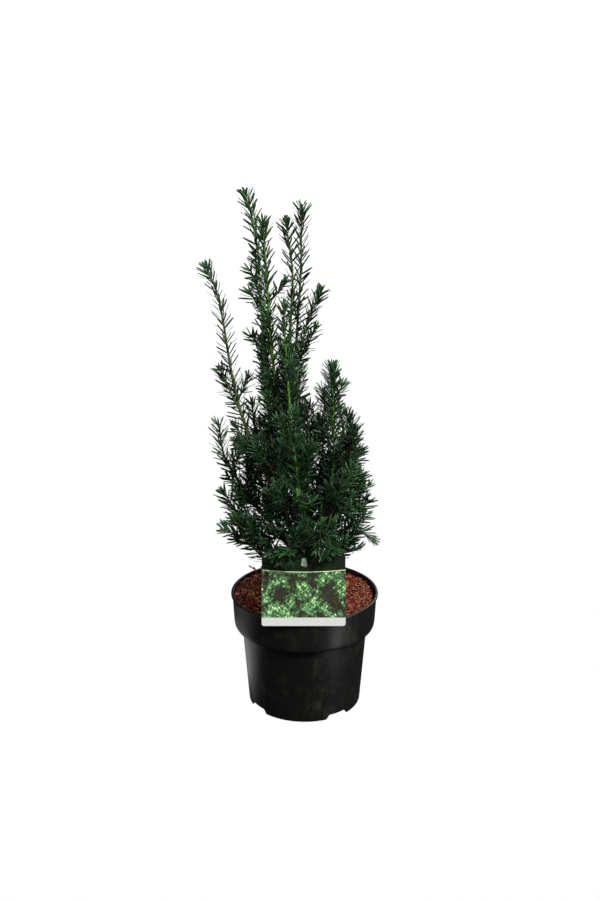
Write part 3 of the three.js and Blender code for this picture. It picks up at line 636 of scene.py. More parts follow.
SHOOTS = [
    Shoot("tall_left", 278, (-45, 7, 444), (-59, 5, 608), (-70, 6, 652), 0.22, 3, 5, 34, pace=1.65,
          brush=562, wood="green", branches=[(466, -65, -12, 487), (513, -66, -5, 540)]),
    Shoot("tall_front", 252, (-36, -15, 435), (-46, -15, 570), (-49, -14, 622), 0.25, 3, 5, 34, pace=1.6,
          brush=505, wood="green", branches=[(528, -22, -22, 553)]),
    Shoot("tall_mid", 330, (-19, 15, 445), (-15, 15, 560), (-23, 14, 618), 0.12, 2.8, 3, 30, pace=2.1,
          brush=400, wood="olive"),
    Shoot("tall_right", 286, (-13, 27, 400), (-5, 20, 560), (-4, 22, 636), 0.2, 2.8, 3, 30, pace=2.1,
          brush=400, wood="olive"),
    Shoot("left_leader", 204, (-78, -5, 388), (-104, -5, 534), (-117, -4, 568), 0.28, 3.2, 5, 40, pace=1.8,
          brush=372, wood="olive", branches=[(390, -102, -14, 447), (405, -69, 3, 432)]),
    Shoot("right_upper", 268, (-12, -5, 400), (2, 3, 496), (19, 2, 538), 0.3, 2.2, 2, 26, pace=1.4,
          brush=470, wood="olive"),
    Shoot("bright_centre", 226, (-15, -29, 362), (-23, -33, 480), (-25, -34, 527), 0.25, 2.6, 3, 30,
          pace=1.6, brush=350, wood="green"),
    Shoot("column_left", 216, (-40, -8, 350), (-47, -8, 440), (-51, -8, 481), 0.3, 2.4, 4, 30, pace=1.5,
          brush=410, wood="olive"),
    Shoot("right_spire", 212, (32, -22, 305), (34, -28, 405), (32, -27, 453), 0.24, 3, 3, 30, pace=0.6,
          brush=250, wood="green", branches=[(405, 45, -31, 432), (348, 16, -14, 384)]),
    Shoot("right_outer_a", 202, (47, 5, 296), (58, 6, 355), (57, 6, 382), 0.26, 2.6, 4, 38),
    Shoot("right_outer_b", 190, (47, -13, 284), (57, -16, 345), (60, -17, 373), 0.24, 2.6, 5, 40),
    Shoot("right_low_a", 186, (34, 9, 236), (60, 12, 280), (72, 12, 304), 0.24, 2.2, 4, 40),
    Shoot("right_low_b", 172, (36, -5, 214), (65, -8, 257), (80, -6, 275), 0.22, 2.2, 5, 40),
    Shoot("right_skirt", 160, (42, -14, 203), (67, -19, 238), (85, -24, 229), 0, 2, 4, 36),
    Shoot("centre_right", 254, (5, -12, 310), (4, -13, 356), (3, -12, 397), 0, 2, 3, 34),
    Shoot("front_centre", 214, (-5, -38, 270), (-11, -51, 340), (-20, -54, 385), 0.22, 2.6, 5, 38,
          wood="green"),
    Shoot("front_left", 196, (-21, -44, 270), (-35, -54, 318), (-50, -58, 356), 0.22, 2.4, 5, 40),
    Shoot("front_right", 200, (25, -44, 250), (37, -58, 292), (45, -64, 326), 0.22, 2.2, 5, 38),
    Shoot("left_low_a", 186, (-74, -8, 289), (-99, -10, 334), (-106, -9, 377), 0.26, 2.8, 6, 42),
    Shoot("left_low_b", 174, (-62, -18, 233), (-86, -22, 268), (-101, -20, 292), 0.22, 2.4, 5, 40),
    Shoot("left_skirt", 160, (-50, -28, 205), (-77, -33, 236), (-103, -36, 248), 0, 2, 4, 36),
    Shoot("front_skirt_left", 164, (-13, -36, 200), (-18, -60, 234), (-22, -86, 235), 0, 2, 3, 34),
    Shoot("front_skirt_right", 168, (9, -33, 207), (16, -57, 242), (20, -77, 270), 0, 2, 4, 36,
          branches=[(219, -10, -47.5, 226.5)]),
    Shoot("left_inner", 222, (-34, 15, 290), (-46, 14, 340), (-52, 12, 374), 0.24, 2.2, 4, 36),
    Shoot("back_tall", 274, (-22, 34, 360), (-27, 42, 425), (-30, 44, 470), 0.22, 2.4, 4, 34, pace=2,
          brush=380),
    Shoot("back_left", 200, (-48, 40, 290), (-62, 50, 345), (-68, 52, 388), 0.24, 2.4, 6, 42),
    Shoot("back_right", 218, (20, 44, 295), (25, 56, 350), (27, 60, 394), 0.22, 2.4, 5, 40),
    Shoot("back_mid", 230, (-8, 48, 310), (-8, 66, 380), (-6, 70, 424), 0.22, 2.4, 5, 40),
    Shoot("back_low_left", 178, (-42, 54, 235), (-56, 74, 275), (-62, 86, 306), 0, 2.2, 6, 40),
    Shoot("back_low_right", 184, (38, 46, 240), (50, 66, 285), (56, 76, 318), 0, 2.2, 6, 40),
    Shoot("back_low_mid", 168, (-2, 56, 225), (-3, 82, 275), (-4, 92, 322), 0, 2.2, 6, 40),
]
CROWN = [
    (150, 60), (180, 68), (210, 82), (235, 100), (250, 107),
    (300, 104), (370, 100), (410, 88), (470, 74), (660, 70),
]
CROWN_INSET = 6
OPEN_GAPS = [((-5, 21), (385, 470)), ((-77, -53), (368, 500)), ((38, 62), (390, 425))]
TIP_RADIUS = 0.9
TWIG_FOOT_RADII = {TWIG: 1.35, FINE_TWIG: 0.95}
TWIG_TIP_SHARE = 0.8 / 1.35
TWIG_BARE = {TWIG: 9, FINE_TWIG: 3}
STEM_BARE = 5.0
STEM_BARE_FROM_TRUNK = 24.0
TWIG_BEND_AT = 0.55
TWIG_SAG = 0.08
TWIG_LINE_STEPS = 25
TWIG_LEAN = 44
TWIG_LEAN_SPREAD = 16
TWIG_LIFT = 0.22
TWIG_SHORTEST = 18
LOWEST_TWIG = 0.2
TWIG_FIRST = 0.08
TWIG_LAST = 0.62
TWIG_TAPER = 0.4
TWIG_TURN_SPREAD = 0.5
TWIG_LENGTHS = (0.8, 0.4)
TWIG_SHRINK = 0.8
GOLDEN = math.radians(137.5)
TWIG_SPARE = 2.5
BRANCH_SPARE = 0.6
LIMB_MARGIN = 3
MULCH_ROOM = 1.4
BOUGH_SIDES = 16
BOUGH_PACE = 2.5
BOUGH_FURROW = 0.16
BOUGH_FURROW_SCALE = 0.55
BOUGH_FIRST = 0.02
TWIG_SEED = 11
STEM_PIECE = 26
BOUGH_PIECE = 28
TWIG_PIECE = 20
TRUNK_PIECE_RINGS = 12

# The card that the front foliage keeps clear of stands on this place, leaning back on the pot's lip.
CARD_WIDTH = 102
CARD_HEIGHT = 88
CARD_SLOT_UP = 72
CARD_LEAN = math.radians(21)
CARD_FOOT = np.array([-1.5, -96.63, 146])
CARD_AXES = np.array([
    (1, 0, 0),
    (0, math.sin(CARD_LEAN), math.cos(CARD_LEAN)),
    (0, -math.cos(CARD_LEAN), math.sin(CARD_LEAN)),
])
STRAP_LOOP_AT = np.array([-1, -44.6, 221.9])
STRAP_ROOM = 6.4
CARD_LOOKS = 9

DRAW_SPAN = 2**32
DRAW_FACTOR = 1664525
DRAW_STEP = 1013904223
SEED_FACTOR = 7919
SEED_STEP = 17


def seeded(seed):
    """A number from 0 to 1 at each call, the same run for the same seed."""
    state = seed * SEED_FACTOR + SEED_STEP

    def draw_next():
        nonlocal state
        state = (state * DRAW_FACTOR + DRAW_STEP) % DRAW_SPAN
        return state / DRAW_SPAN

    return draw_next


class Limb:
    """A shoot's stem or a twig: its line from a share of it on, its radii, its parent, how far its wood is
    bare and its grade, which is STEM, TWIG or FINE_TWIG."""

    def __init__(self, line, start, thick, thin, parent, bare, grade):
        self.line = line
        self.start = start
        self.length = (1 - start) * line.length
        self.radii = (thick, thin)
        self.parent = parent
        self.bare = bare
        self.grade = grade

    def share(self, distance):
        return self.start + (1 - self.start) * np.asarray(distance, float) / self.length

    def points(self, distance):
        return self.line.at(self.share(distance))

    def radius(self, distance):
        return np.interp(distance, (0, self.length), self.radii)


NEARLY_PARALLEL = 1e-9
FAR = 1000
# Straight pieces of every limb so far, which new twigs have to miss: ends, radii, and the limb they are of.
taken = {"from": np.zeros((0, 3)), "to": np.zeros((0, 3)), "radii": np.zeros((0, 2)), "owners": []}


def take(points, radii, limb):
    points = np.asarray(points, float)
    taken["from"] = np.concatenate([taken["from"], points[:-1]])
    taken["to"] = np.concatenate([taken["to"], points[1:]])
    taken["radii"] = np.concatenate([taken["radii"], np.stack([radii[:-1], radii[1:]], 1)])
    taken["owners"] += [limb] * (len(points) - 1)


def gap_to_taken(start, end, radii, limb, parent):
    """The smallest gap from a straight piece to what is taken, apart from its own limb and its parent."""
    u = end - start
    v = taken["to"] - taken["from"]
    w = start - taken["from"]
    uu = u.dot(u)
    uv = v.dot(u)
    vv = (v * v).sum(1)
    uw = w.dot(u)
    vw = (w * v).sum(1)
    spread = uu * vv - uv * uv
    along = np.clip((uv * vw - vv * uw) / np.maximum(spread, NEARLY_PARALLEL), 0, 1)
    s = np.where(spread > NEARLY_PARALLEL, along, 0)
    t = np.clip((uv * s + vw) / vv, 0, 1)
    s = np.clip((uv * t - uw) / uu, 0, 1)
    apart = np.linalg.norm(start + s[:, None] * u - taken["from"] - t[:, None] * v, axis=1)
    thick = radii[0] + (radii[1] - radii[0]) * s
    thick = thick + taken["radii"][:, 0] * (1 - t) + taken["radii"][:, 1] * t
    other = [owner is not limb and owner is not parent and getattr(owner, "parent", 0) is not limb
             for owner in taken["owners"]]
    return np.min((apart - thick)[np.array(other)], initial=FAR)


def misses_card(starts, ends, margin):
    """Whether straight pieces stay off the card: no point of them near its plane, and no way through it."""
    steps = np.linspace(0, 1, CARD_LOOKS)[:, None]
    points = starts[..., None, :] * (1 - steps) + ends[..., None, :] * steps
    x, y, z = np.moveaxis((points - CARD_FOOT) @ CARD_AXES.T, -1, 0)
    beside = (np.abs(x) > CARD_WIDTH / 2 + margin) | (y < -margin) | (y > CARD_HEIGHT + margin)
    near = ~beside & (np.abs(z) < margin)
    through = ~beside[..., 1:] & ~beside[..., :-1] & (z[..., 1:] * z[..., :-1] < 0)
    return ~(near.any(-1) | through.any(-1))


def misses_pot(starts, ends, margin):
    low = np.minimum(starts[..., 2], ends[..., 2]) - margin
    start_reach = np.hypot(starts[..., 0], starts[..., 1])
    end_reach = np.hypot(ends[..., 0], ends[..., 1])
    near_lip = np.maximum(start_reach, end_reach) > COLLAR_RADIUS - 3 * margin
    return low > np.where(near_lip, POT_HEIGHT, MULCH_TOP + MULCH_ROOM)


def points_at_pace(line, start, end, pace):
    steps = max(2, round((end - start) * line.length / pace))
    return line.at(np.linspace(start, end, steps + 1))


def grow_twig(shoot, parent, grade, start, end, spare, asked=False):
    """Grows a twig, bowed up, from a point of its parent limb to a tip, if its space is free. One that is
    asked for may stand in an open gap."""
    length = np.linalg.norm(end - start)
    bend = start + TWIG_BEND_AT * (end - start) - np.array([0, 0, TWIG_SAG * length])
    t = np.linspace(0, 1, TWIG_LINE_STEPS)[:, None]
    line = Line((1 - t) ** 2 * start + 2 * t * (1 - t) * bend + t**2 * end)
    points = points_at_pace(line, 0, 1, TWIG_PIECE)
    x, y, z = points.T
    inside = np.hypot(x, y) < read_at(CROWN, z) - CROWN_INSET
    in_gap = [(x > left) & (x < right) & (z > low) & (z < high) for (left, right), (low, high) in OPEN_GAPS]
    if not asked and (not inside.all() or np.any(in_gap)):
        return False
    thick = TWIG_FOOT_RADII[grade]
    thin = thick * TWIG_TIP_SHARE
    twig = Limb(line, 0, thick, thin, parent, TWIG_BARE[grade], grade)
    radii = np.linspace(thick, thin, len(points))
    off_card = misses_card(points[:-1], points[1:], LIMB_MARGIN)
    off_pot = misses_pot(points[:-1], points[1:], LIMB_MARGIN)
    if not off_card.all() or not off_pot.all():
        return False
    for i in range(len(points) - 1):
        if gap_to_taken(points[i], points[i + 1], radii[i : i + 2], twig, parent) < spare:
            return False
    take(points, radii, twig)
    shoot.limbs.append(twig)
    return True


def leaning(way, lean, turn):
    """A direction that leans away from another, turned round it."""
    across, third = frames_along(way[None])
    out = across[0] * math.cos(turn) + third[0] * math.sin(turn)
    return way * math.cos(lean) + out * math.sin(lean)


take(trunk_points[::TRUNK_PIECE_RINGS], trunk_radii[::TRUNK_PIECE_RINGS, 0], "trunk")
for shoot in SHOOTS:
    foot = trunk_line.at_height(shoot.foot)
    line = line_through([foot, shoot.low, shoot.high, shoot.tip])
    start = shoot.bough
    thick = shoot.thick + (TIP_RADIUS - shoot.thick) * start
    bare = STEM_BARE if start else STEM_BARE_FROM_TRUNK
    stem = Limb(line, start, thick, TIP_RADIUS, None, bare, STEM)
    shoot.line = line
    shoot.limbs = [stem]
    points = points_at_pace(line, start, 1, STEM_PIECE)
    take(points, np.linspace(thick, TIP_RADIUS, len(points)), stem)
    if start:
        points = points_at_pace(line, 0, start, BOUGH_PIECE)
        take(points, np.linspace(shoot.thick, thick, len(points)), "bough")

for number, shoot in enumerate(SHOOTS):
    stem = shoot.limbs[0]
    for height, *tip in shoot.branches:
        foot = shoot.line.at_height(height)
        grow_twig(shoot, stem, TWIG, foot, np.array(tip, float), BRANCH_SPARE, asked=True)
    draw_next = seeded(number + TWIG_SEED)
    start = shoot.bough or LOWEST_TWIG
    for i in range(shoot.twigs):
        spot = TWIG_FIRST + (TWIG_LAST - TWIG_FIRST) * (i + draw_next()) / shoot.twigs
        share = start + (1 - start) * spot
        foot = shoot.line.at(share)
        turn = i * GOLDEN + number + draw_next() * TWIG_TURN_SPREAD
        lean = math.radians(TWIG_LEAN + TWIG_LEAN_SPREAD * (draw_next() - 0.5))
        length = shoot.twig * (1 - TWIG_TAPER * spot) * (TWIG_LENGTHS[0] + TWIG_LENGTHS[1] * draw_next())
        way = leaning(shoot.line.way(share), lean, turn)
        while length > TWIG_SHORTEST:
            tip = foot + way * length + np.array([0, 0, TWIG_LIFT * length])
            if grow_twig(shoot, stem, TWIG, foot, tip, TWIG_SPARE):
                break
            length *= TWIG_SHRINK
slot_at = CARD_FOOT + CARD_AXES[1] * CARD_SLOT_UP
take([slot_at, STRAP_LOOP_AT], np.array([STRAP_ROOM, STRAP_ROOM]), "strap")

bough_parts = []
for shoot in SHOOTS:
    if not shoot.bough:
        continue
    count = max(4, round(shoot.bough * shoot.line.length / BOUGH_PACE))
    shares = np.linspace(BOUGH_FIRST, shoot.bough, count)
    points = shoot.line.at(shares)
    radii = shoot.thick + (TIP_RADIUS - shoot.thick) * shares
    relief = furrows(points, BOUGH_SIDES, BOUGH_FURROW, BOUGH_FURROW_SCALE)
    bough_parts.append(tube(points, shoot.line.way(shares), radii[:, None] + relief, BOUGH_SIDES))


def joined(parts):
    """Many small meshes as one."""
    starts = np.cumsum([0] + [len(points) for points, _ in parts])
    faces = [faces + start for (_, faces), start in zip(parts, starts)]
    return np.concatenate([points for points, _ in parts]), np.concatenate(faces)


boughs = add_piece("bough_bark", *joined(bough_parts), [bark], "bark", smooth_below=180)
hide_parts(*bough_nodes)


# Fine twigs: stems and twigs carry short shoots up to their shoot's brush, by the same rule, and only every
# second one among the upper columns. FINE_SIDES is how far left and right their tips reach at each height.
# The placed sprays fill the skirt, the low left and two notches higher up.
FINE_SEED = 301
FINE_GAP = 13
FINE_LONGEST = [(150, 56), (340, 60), (420, 34), (600, 22)]
FINE_LEANS = [(150, 40), (330, 30), (420, 22), (600, 22)]
FINE_SIDES = [
    (200, -50, 56), (228, -60, 66), (240, -80, 72), (255, -96, 76), (285, -88, 80), (312, -92, 74),
    (344, -100, 66), (379, -104, 56), (410, -98, 50), (440, -100, 34), (540, -110, 30), (660, -80, 20),
]
FINE_SIDE_ROOM = (0.84, 1.14)
FINE_JITTER = 0.6
FINE_LEAN_SPREAD = 18
FINE_LIFT = 0.18
FINE_SHRINKS = (1, 0.75, 0.55)
FINE_TURN_SPREAD = 0.7
FINE_LENGTHS = (0.65, 0.5)
FINE_LENGTH_AT_TIP = 0.45
FINE_LENGTH_SLOPE = 2.2
FINE_LAST = 14
FINE_THIN_ABOVE = 395
FINE_SPARE = 0.8
FINE_SHORTEST = 9
SPRIG_GAP = 15
SPRIG_SHARE = 0.6
PLACED_SPARE = 0.4
PLACED_SPRAYS = [
    ("front_skirt_left", 0.9, (-28, -89, 224)),
    ("front_skirt_left", 0.8, (-18, -87, 224)),
    ("front_skirt_left", 0.84, (-42, -85, 230)),
    ("front_skirt_right", 0.84, (24, -84, 232)),
    ("front_skirt_right", 0.96, (15, -87, 240)),
    ("front_right", 0.48, (37, -80, 234)),
    ("right_upper", 0.68, (14, -2, 497)),
    ("tall_left", 0.72, (-67, -2, 566)),
    ("left_low_b", 0.5, (-50, -42, 288)),
    ("front_left", 0.42, (-48, -46, 276)),
    ("front_left", 0.36, (-42, -60, 258)),
]

for name, share, tip in PLACED_SPRAYS:
    shoot = next(shoot for shoot in SHOOTS if shoot.name == name)
    foot = shoot.line.at(share)
    grow_twig(shoot, shoot.limbs[0], FINE_TWIG, foot, np.array(tip, float), PLACED_SPARE, asked=True)
side_heights, left_sides, right_sides = zip(*FINE_SIDES)
for number, shoot in enumerate(SHOOTS):
    draw_next = seeded(number + FINE_SEED)
    for limb in list(shoot.limbs):
        is_stem = limb.grade == STEM
        pace = FINE_GAP if is_stem else SPRIG_GAP
        places = np.arange(limb.bare + pace, limb.length - FINE_LAST, pace)
        for i, distance in enumerate(places):
            distance += (draw_next() - 0.5) * pace * FINE_JITTER
            share = limb.share(distance)
            foot = limb.line.at(share)
            turn = i * GOLDEN + number + draw_next() * FINE_TURN_SPREAD
            lean = read_at(FINE_LEANS, foot[2]) + FINE_LEAN_SPREAD * (draw_next() - 0.5)
            longest = read_at(FINE_LONGEST, foot[2]) * (1 if is_stem else SPRIG_SHARE)
            from_tip = min(1, FINE_LENGTH_SLOPE * (1 - distance / limb.length))
            length = longest * (FINE_LENGTH_AT_TIP + (1 - FINE_LENGTH_AT_TIP) * from_tip)
            length *= FINE_LENGTHS[0] + FINE_LENGTHS[1] * draw_next()
            is_left_out = i % 2 and foot[2] > FINE_THIN_ABOVE
            if is_left_out or foot[2] > shoot.brush:
                continue
            way = leaning(limb.line.way(share), math.radians(lean), turn)
            for shrink in FINE_SHRINKS:
                if length * shrink < FINE_SHORTEST:
                    break
                tip = foot + way * length * shrink + np.array([0, 0, FINE_LIFT * length * shrink])
                room = np.interp(draw_next(), (0, 1), FINE_SIDE_ROOM)
                left = np.interp(tip[2], side_heights, left_sides) * room
                right = np.interp(tip[2], side_heights, right_sides) * room
                if not left < tip[0] < right:
                    continue
                if grow_twig(shoot, limb, FINE_TWIG, foot, tip, FINE_SPARE):
                    break


# Shoot wood: each stem and twig is a slim tapered tube that ends in a bud. Old shoots are brown, the tall
# ones olive or green, and the fine twigs a darker green.
WOODS = {
    "brown": ((0.05, 0.032, 0.016, 1), (0.02, 0.014, 0.008, 1)),
    "olive": ((0.07, 0.095, 0.031, 1), (0.031, 0.044, 0.015, 1)),
    "young": ((0.035, 0.062, 0.018, 1), (0.014, 0.026, 0.008, 1)),
    "green": ((0.09, 0.185, 0.03, 1), (0.04, 0.09, 0.018, 1)),
}
WOOD_GRAIN = 900
STEM_PACE = 3.5
STEM_SIDES = 8
FINE_STEM_SIDES = 6
BUD_LENGTH = 2.6
BUD = np.array([(0.35, 1.15), (0.65, 0.95), (0.9, 0.5), (1, 0.15)])
stem_parts = {wood: [] for wood in WOODS}
for shoot in SHOOTS:
    for limb in shoot.limbs:
        is_fine = limb.grade == FINE_TWIG
        pace = STEM_PACE * (2 if is_fine else 1)
        distances = np.linspace(0, limb.length, max(3, round(limb.length / pace)))
        radii = limb.radius(distances)
        points = limb.points(distances)
        ways = limb.line.way(limb.share(distances))
        points = np.concatenate([points, points[-1] + ways[-1] * BUD[:, :1] * BUD_LENGTH])
        ways = np.concatenate([ways, np.repeat(ways[-1:], len(BUD), 0)])
        radii = np.concatenate([radii, radii[-1] * BUD[:, 1]])
        wood = shoot.wood
        if is_fine or limb.grade == TWIG and wood != "olive":
            wood = "young"
        stem_parts[wood].append(tube(points, ways, radii, FINE_STEM_SIDES if is_fine else STEM_SIDES))
for wood, parts in stem_parts.items():
    finish = wood_finish(f"{wood}_shoot_wood", *WOODS[wood], WOOD_GRAIN)
    stems = add_piece(f"shoot_wood_{wood}", *joined(parts), [finish], "bark", smooth_below=180)
    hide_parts(*foliage_nodes)


# Needles: flat, pointed, on a short narrow foot, with a raised rib above and below and a paler underside.
# They spiral round an upright shoot, lie more in two ranks the more level it is, and close in to a tuft at
# its tip. Their green goes by the spray that they are in and is fresher on young tips and higher up; the
# darker greens inside the crown, down to near black, are painted shade.
NEEDLE_LENGTHS = [(150, 19.5), (340, 19), (440, 18.5), (660, 18)]
NEEDLE_WIDTHS = [(150, 2.2), (340, 2.2), (440, 2.35), (660, 2.55)]
NEEDLE_STATIONS = np.array([(0, 0.2), (0.1, 0.44), (0.5, 0.5), (0.86, 0.4)])
NEEDLE_RIB = 0.17
NEEDLE_KEEL = 0.7
NEEDLE_SEAT = 0.8
NEEDLE_FIRST = [(0, 0.7), (12, 1)]
NEEDLE_START_SPREAD = 0.8
NEEDLE_LAST = 0.1
NEEDLE_SEED_STEP = 1000
FEWEST_NEEDLES = 3
NEEDLE_TURN_SPREAD = 0.16
NEEDLE_LEAN_SPREAD = 7
NEEDLE_FACE_SPREAD = 0.22
NEEDLE_LENGTH_SPREAD = (0.8, 1.12)
NEEDLE_WIDTH_SPREAD = (0.88, 1.1)
NEEDLE_BEND = (0.04, 0.05)
NEEDLE_LEANS = [(0, 64), (0.9, 42)]
NEEDLE_TUFT_LEAN = 33
NEEDLE_ROLL = 0.6
RANK_BY_LEVEL = (0.3, 1.2)
RANK_MOST = 0.85
RANK_ON_LEADER = 0.3
RANK_LIFT = 0.18
UPWARD_REACH = 100
TUFT_LENGTH = 9
TUFT_NEEDLES = 3
TUFT_FROM_TIP = (0.2, 5)
LEADER_HEIGHT = 440
LEADER_TIP_NEEDLES = 18
LEADER_TIP_LENGTH = 34
LEADER_TIP_POWER = 1.3
FINE_NEEDLE_SHARE = 0.88
TUFT_SHRINK = 0.42
INNER_PAINTED_SHADE_TONE = 0.55
OUTER_PAINTED_LIGHT = 1.3
SPRAY_LIGHT_SPREAD = 0.55
NEEDLE_LIGHT_SPREAD = 0.5
TIP_LIGHT = 0.9
TIP_LIGHT_LENGTH = 22
HIGH_LIGHT = [(380, 0), (520, 0.8)]
WOOD_LIGHT = {"green": 0.35, "olive": -0.5, "brown": 0}
CARD_ROOM = 0.8
POT_ROOM = 0.6
NEEDLES_A_PIECE = 6000
GREENS = {
    "shade": (0.002, 0.007, 0.002, 1),
    "dark": (0.004, 0.018, 0.005, 1),
    "deep": (0.009, 0.038, 0.011, 1),
    "mid": (0.021, 0.075, 0.021, 1),
    "fresh": (0.05, 0.145, 0.042, 1),
}
UNDERSIDE_GREEN = np.array([0.06, 0.12, 0.05])
UNDERSIDE_SHARE = 0.28
LOWEST_GLOSS = 0.25
GLOSS_STEP = 0.09
UNDERSIDE_GLOSS = 0.2

grown = []
for number, shoot in enumerate(SHOOTS):
    for order, limb in enumerate(shoot.limbs):
        draw = np.random.default_rng(NEEDLE_SEED_STEP * number + order)
        is_leader = limb.grade == STEM and limb.line.points[-1][2] > LEADER_HEIGHT
        spacing = shoot.pace if limb.grade == STEM else NEEDLE_PACE
        count = int((limb.length - limb.bare) / spacing)
        if count < FEWEST_NEEDLES:
            continue
        distance = limb.bare + (np.arange(count) + draw.uniform(0, NEEDLE_START_SPREAD, count)) * spacing
        distance = np.concatenate([distance, limb.length - draw.uniform(*TUFT_FROM_TIP, TUFT_NEEDLES)])
        if is_leader:
            near_tip = LEADER_TIP_LENGTH * draw.uniform(0, 1, LEADER_TIP_NEEDLES) ** LEADER_TIP_POWER
            distance = np.concatenate([distance, limb.length - near_tip])
        distance = np.minimum(distance, limb.length - NEEDLE_LAST)
        count = len(distance)
        share = limb.share(distance)
        points = limb.line.at(share)
        ways = limb.line.way(share)
        across, third = frames_along(ways)
        turn = np.arange(count) * GOLDEN + number + draw.normal(0, NEEDLE_TURN_SPREAD, count)
        out = across * np.cos(turn)[:, None] + third * np.sin(turn)[:, None]
        level = 1 - np.abs(ways[:, 2:])
        outward = points * (1, 1, 0) / UPWARD_REACH + (0, 0, 1.0)
        upper = unit(outward - ways * (outward * ways).sum(1)[:, None])
        rank = np.clip(level * RANK_BY_LEVEL[1] + RANK_BY_LEVEL[0], 0, RANK_MOST)
        rank = rank * (RANK_ON_LEADER if is_leader else 1)
        out = unit(out - rank * (out * upper).sum(1)[:, None] * upper + RANK_LIFT * rank * upper)
        to_tip = limb.length - distance
        tuft = np.clip(1 - to_tip / TUFT_LENGTH, 0, 1)
        lean = read_at(NEEDLE_LEANS, distance / limb.length)
        lean = lean + (NEEDLE_TUFT_LEAN - lean) * tuft + draw.normal(0, NEEDLE_LEAN_SPREAD, count)
        lean = np.radians(lean)[:, None]
        way = unit(ways * np.cos(lean) + out * np.sin(lean))
        face = ways * np.sin(lean) - out * np.cos(lean)
        face = unit((1 - rank) * face + rank * upper + draw.normal(0, NEEDLE_FACE_SPREAD, (count, 3)))
        face = unit(face - (face * way).sum(1)[:, None] * way)
        roll = draw.normal(0, NEEDLE_ROLL, count)[:, None] * (1 - 0.5 * rank)
        face = face * np.cos(roll) + np.cross(way, face) * np.sin(roll)
        x, y, z = points.T
        length = read_at(NEEDLE_LENGTHS, z) * (FINE_NEEDLE_SHARE if limb.grade == FINE_TWIG else 1)
        length = length * (1 - TUFT_SHRINK * tuft) * read_at(NEEDLE_FIRST, distance - limb.bare)
        length = length * draw.uniform(*NEEDLE_LENGTH_SPREAD, count)
        width = read_at(NEEDLE_WIDTHS, z) * draw.uniform(*NEEDLE_WIDTH_SPREAD, count)
        base = points + out * (limb.radius(distance) * NEEDLE_SEAT)[:, None]
        # Needles nearer the middle of the crown get darker greens and the outer ones lighter: painted shade.
        reach = np.hypot(x, y) / read_at(CROWN, z)
        spray_light = INNER_PAINTED_SHADE_TONE + WOOD_LIGHT[shoot.wood] + draw.normal(0, SPRAY_LIGHT_SPREAD)
        light = spray_light + OUTER_PAINTED_LIGHT * np.clip(reach, 0, 1) + draw.normal(0, NEEDLE_LIGHT_SPREAD, count)
        light = light + TIP_LIGHT * np.clip(1 - to_tip / TIP_LIGHT_LENGTH, 0, 1) + read_at(HIGH_LIGHT, z)
        bend = draw.normal(*NEEDLE_BEND, count)
        tone = np.clip(np.floor(light), 0, len(GREENS) - 1)
        grown.append(dict(base=base, way=way, face=face, length=length, width=width, bend=bend, tone=tone))
needle = {name: np.concatenate([part[name] for part in grown]) for name in grown[0]}
tips = needle["base"] + needle["way"] * needle["length"][:, None]
keep = misses_card(needle["base"], tips, CARD_ROOM) & misses_pot(needle["base"], tips, POT_ROOM)
needle = {name: values[keep] for name, values in needle.items()}


def needle_mesh(n):
    """The points, triangles and finishes of many needles: four points at each station, then the tip."""
    side = np.cross(n["way"], n["face"])
    rows = []
    for along, half in NEEDLE_STATIONS:
        middle = n["base"] + n["way"] * (along * n["length"])[:, None]
        middle = middle + n["face"] * (n["bend"] * n["length"] * along**2)[:, None]
        over = n["face"] * (NEEDLE_RIB * n["width"] * min(1, 2 * half))[:, None]
        beside = side * (half * n["width"])[:, None]
        rows += [middle - beside, middle + over, middle + beside, middle - NEEDLE_KEEL * over]
    bent = n["face"] * (n["bend"] * n["length"])[:, None]
    rows.append(n["base"] + n["way"] * n["length"][:, None] + bent)
    faces = [(0, 1, 2), (0, 2, 3)]
    lower = [1, 1]
    last = 4 * (len(NEEDLE_STATIONS) - 1)
    for corner in range(4):
        ahead = (corner + 1) % 4
        is_under = corner >= 2
        for low in range(0, last, 4):
            faces.append((low + corner, low + 4 + ahead, low + ahead))
            faces.append((low + corner, low + 4 + corner, low + 4 + ahead))
            lower += [is_under, is_under]
        faces.append((last + corner, last + 4, last + ahead))
        lower.append(is_under)
    count = len(n["length"])
    points = np.stack(rows, 1)
    starts = np.arange(count)[:, None, None] * len(rows)
    return points.reshape(-1, 3), (starts + np.array(faces)).reshape(-1, 3), np.tile(lower, count)


for number, (tone, green) in enumerate(GREENS.items()):
    gloss = LOWEST_GLOSS + GLOSS_STEP * number
    pale = tuple((1 - UNDERSIDE_SHARE) * np.array(green[:3]) + UNDERSIDE_SHARE * UNDERSIDE_GREEN) + (1,)
    sides = (f"needle_{tone}", green, 0.3, gloss), (f"needle_{tone}_under", pale, 0.45, UNDERSIDE_GLOSS)
    finishes = []
    for name, colour, roughness, shine in sides:
        finish, _, _ = new_finish(name, Base_Color=colour, Roughness=roughness, Specular_IOR_Level=shine)
        finishes.append(finish)
    chosen = np.flatnonzero(needle["tone"] == number)
    for part, first in enumerate(range(0, len(chosen), NEEDLES_A_PIECE)):
        group = {name: values[chosen[first : first + NEEDLES_A_PIECE]] for name, values in needle.items()}
        points, faces, lower = needle_mesh(group)
        name = f"needles_{tone}_{part + 1}"
        needles = add_piece(name, points, faces, finishes, "foliage", smooth_below=180, face_finish=lower)
        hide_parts(*foliage_nodes)


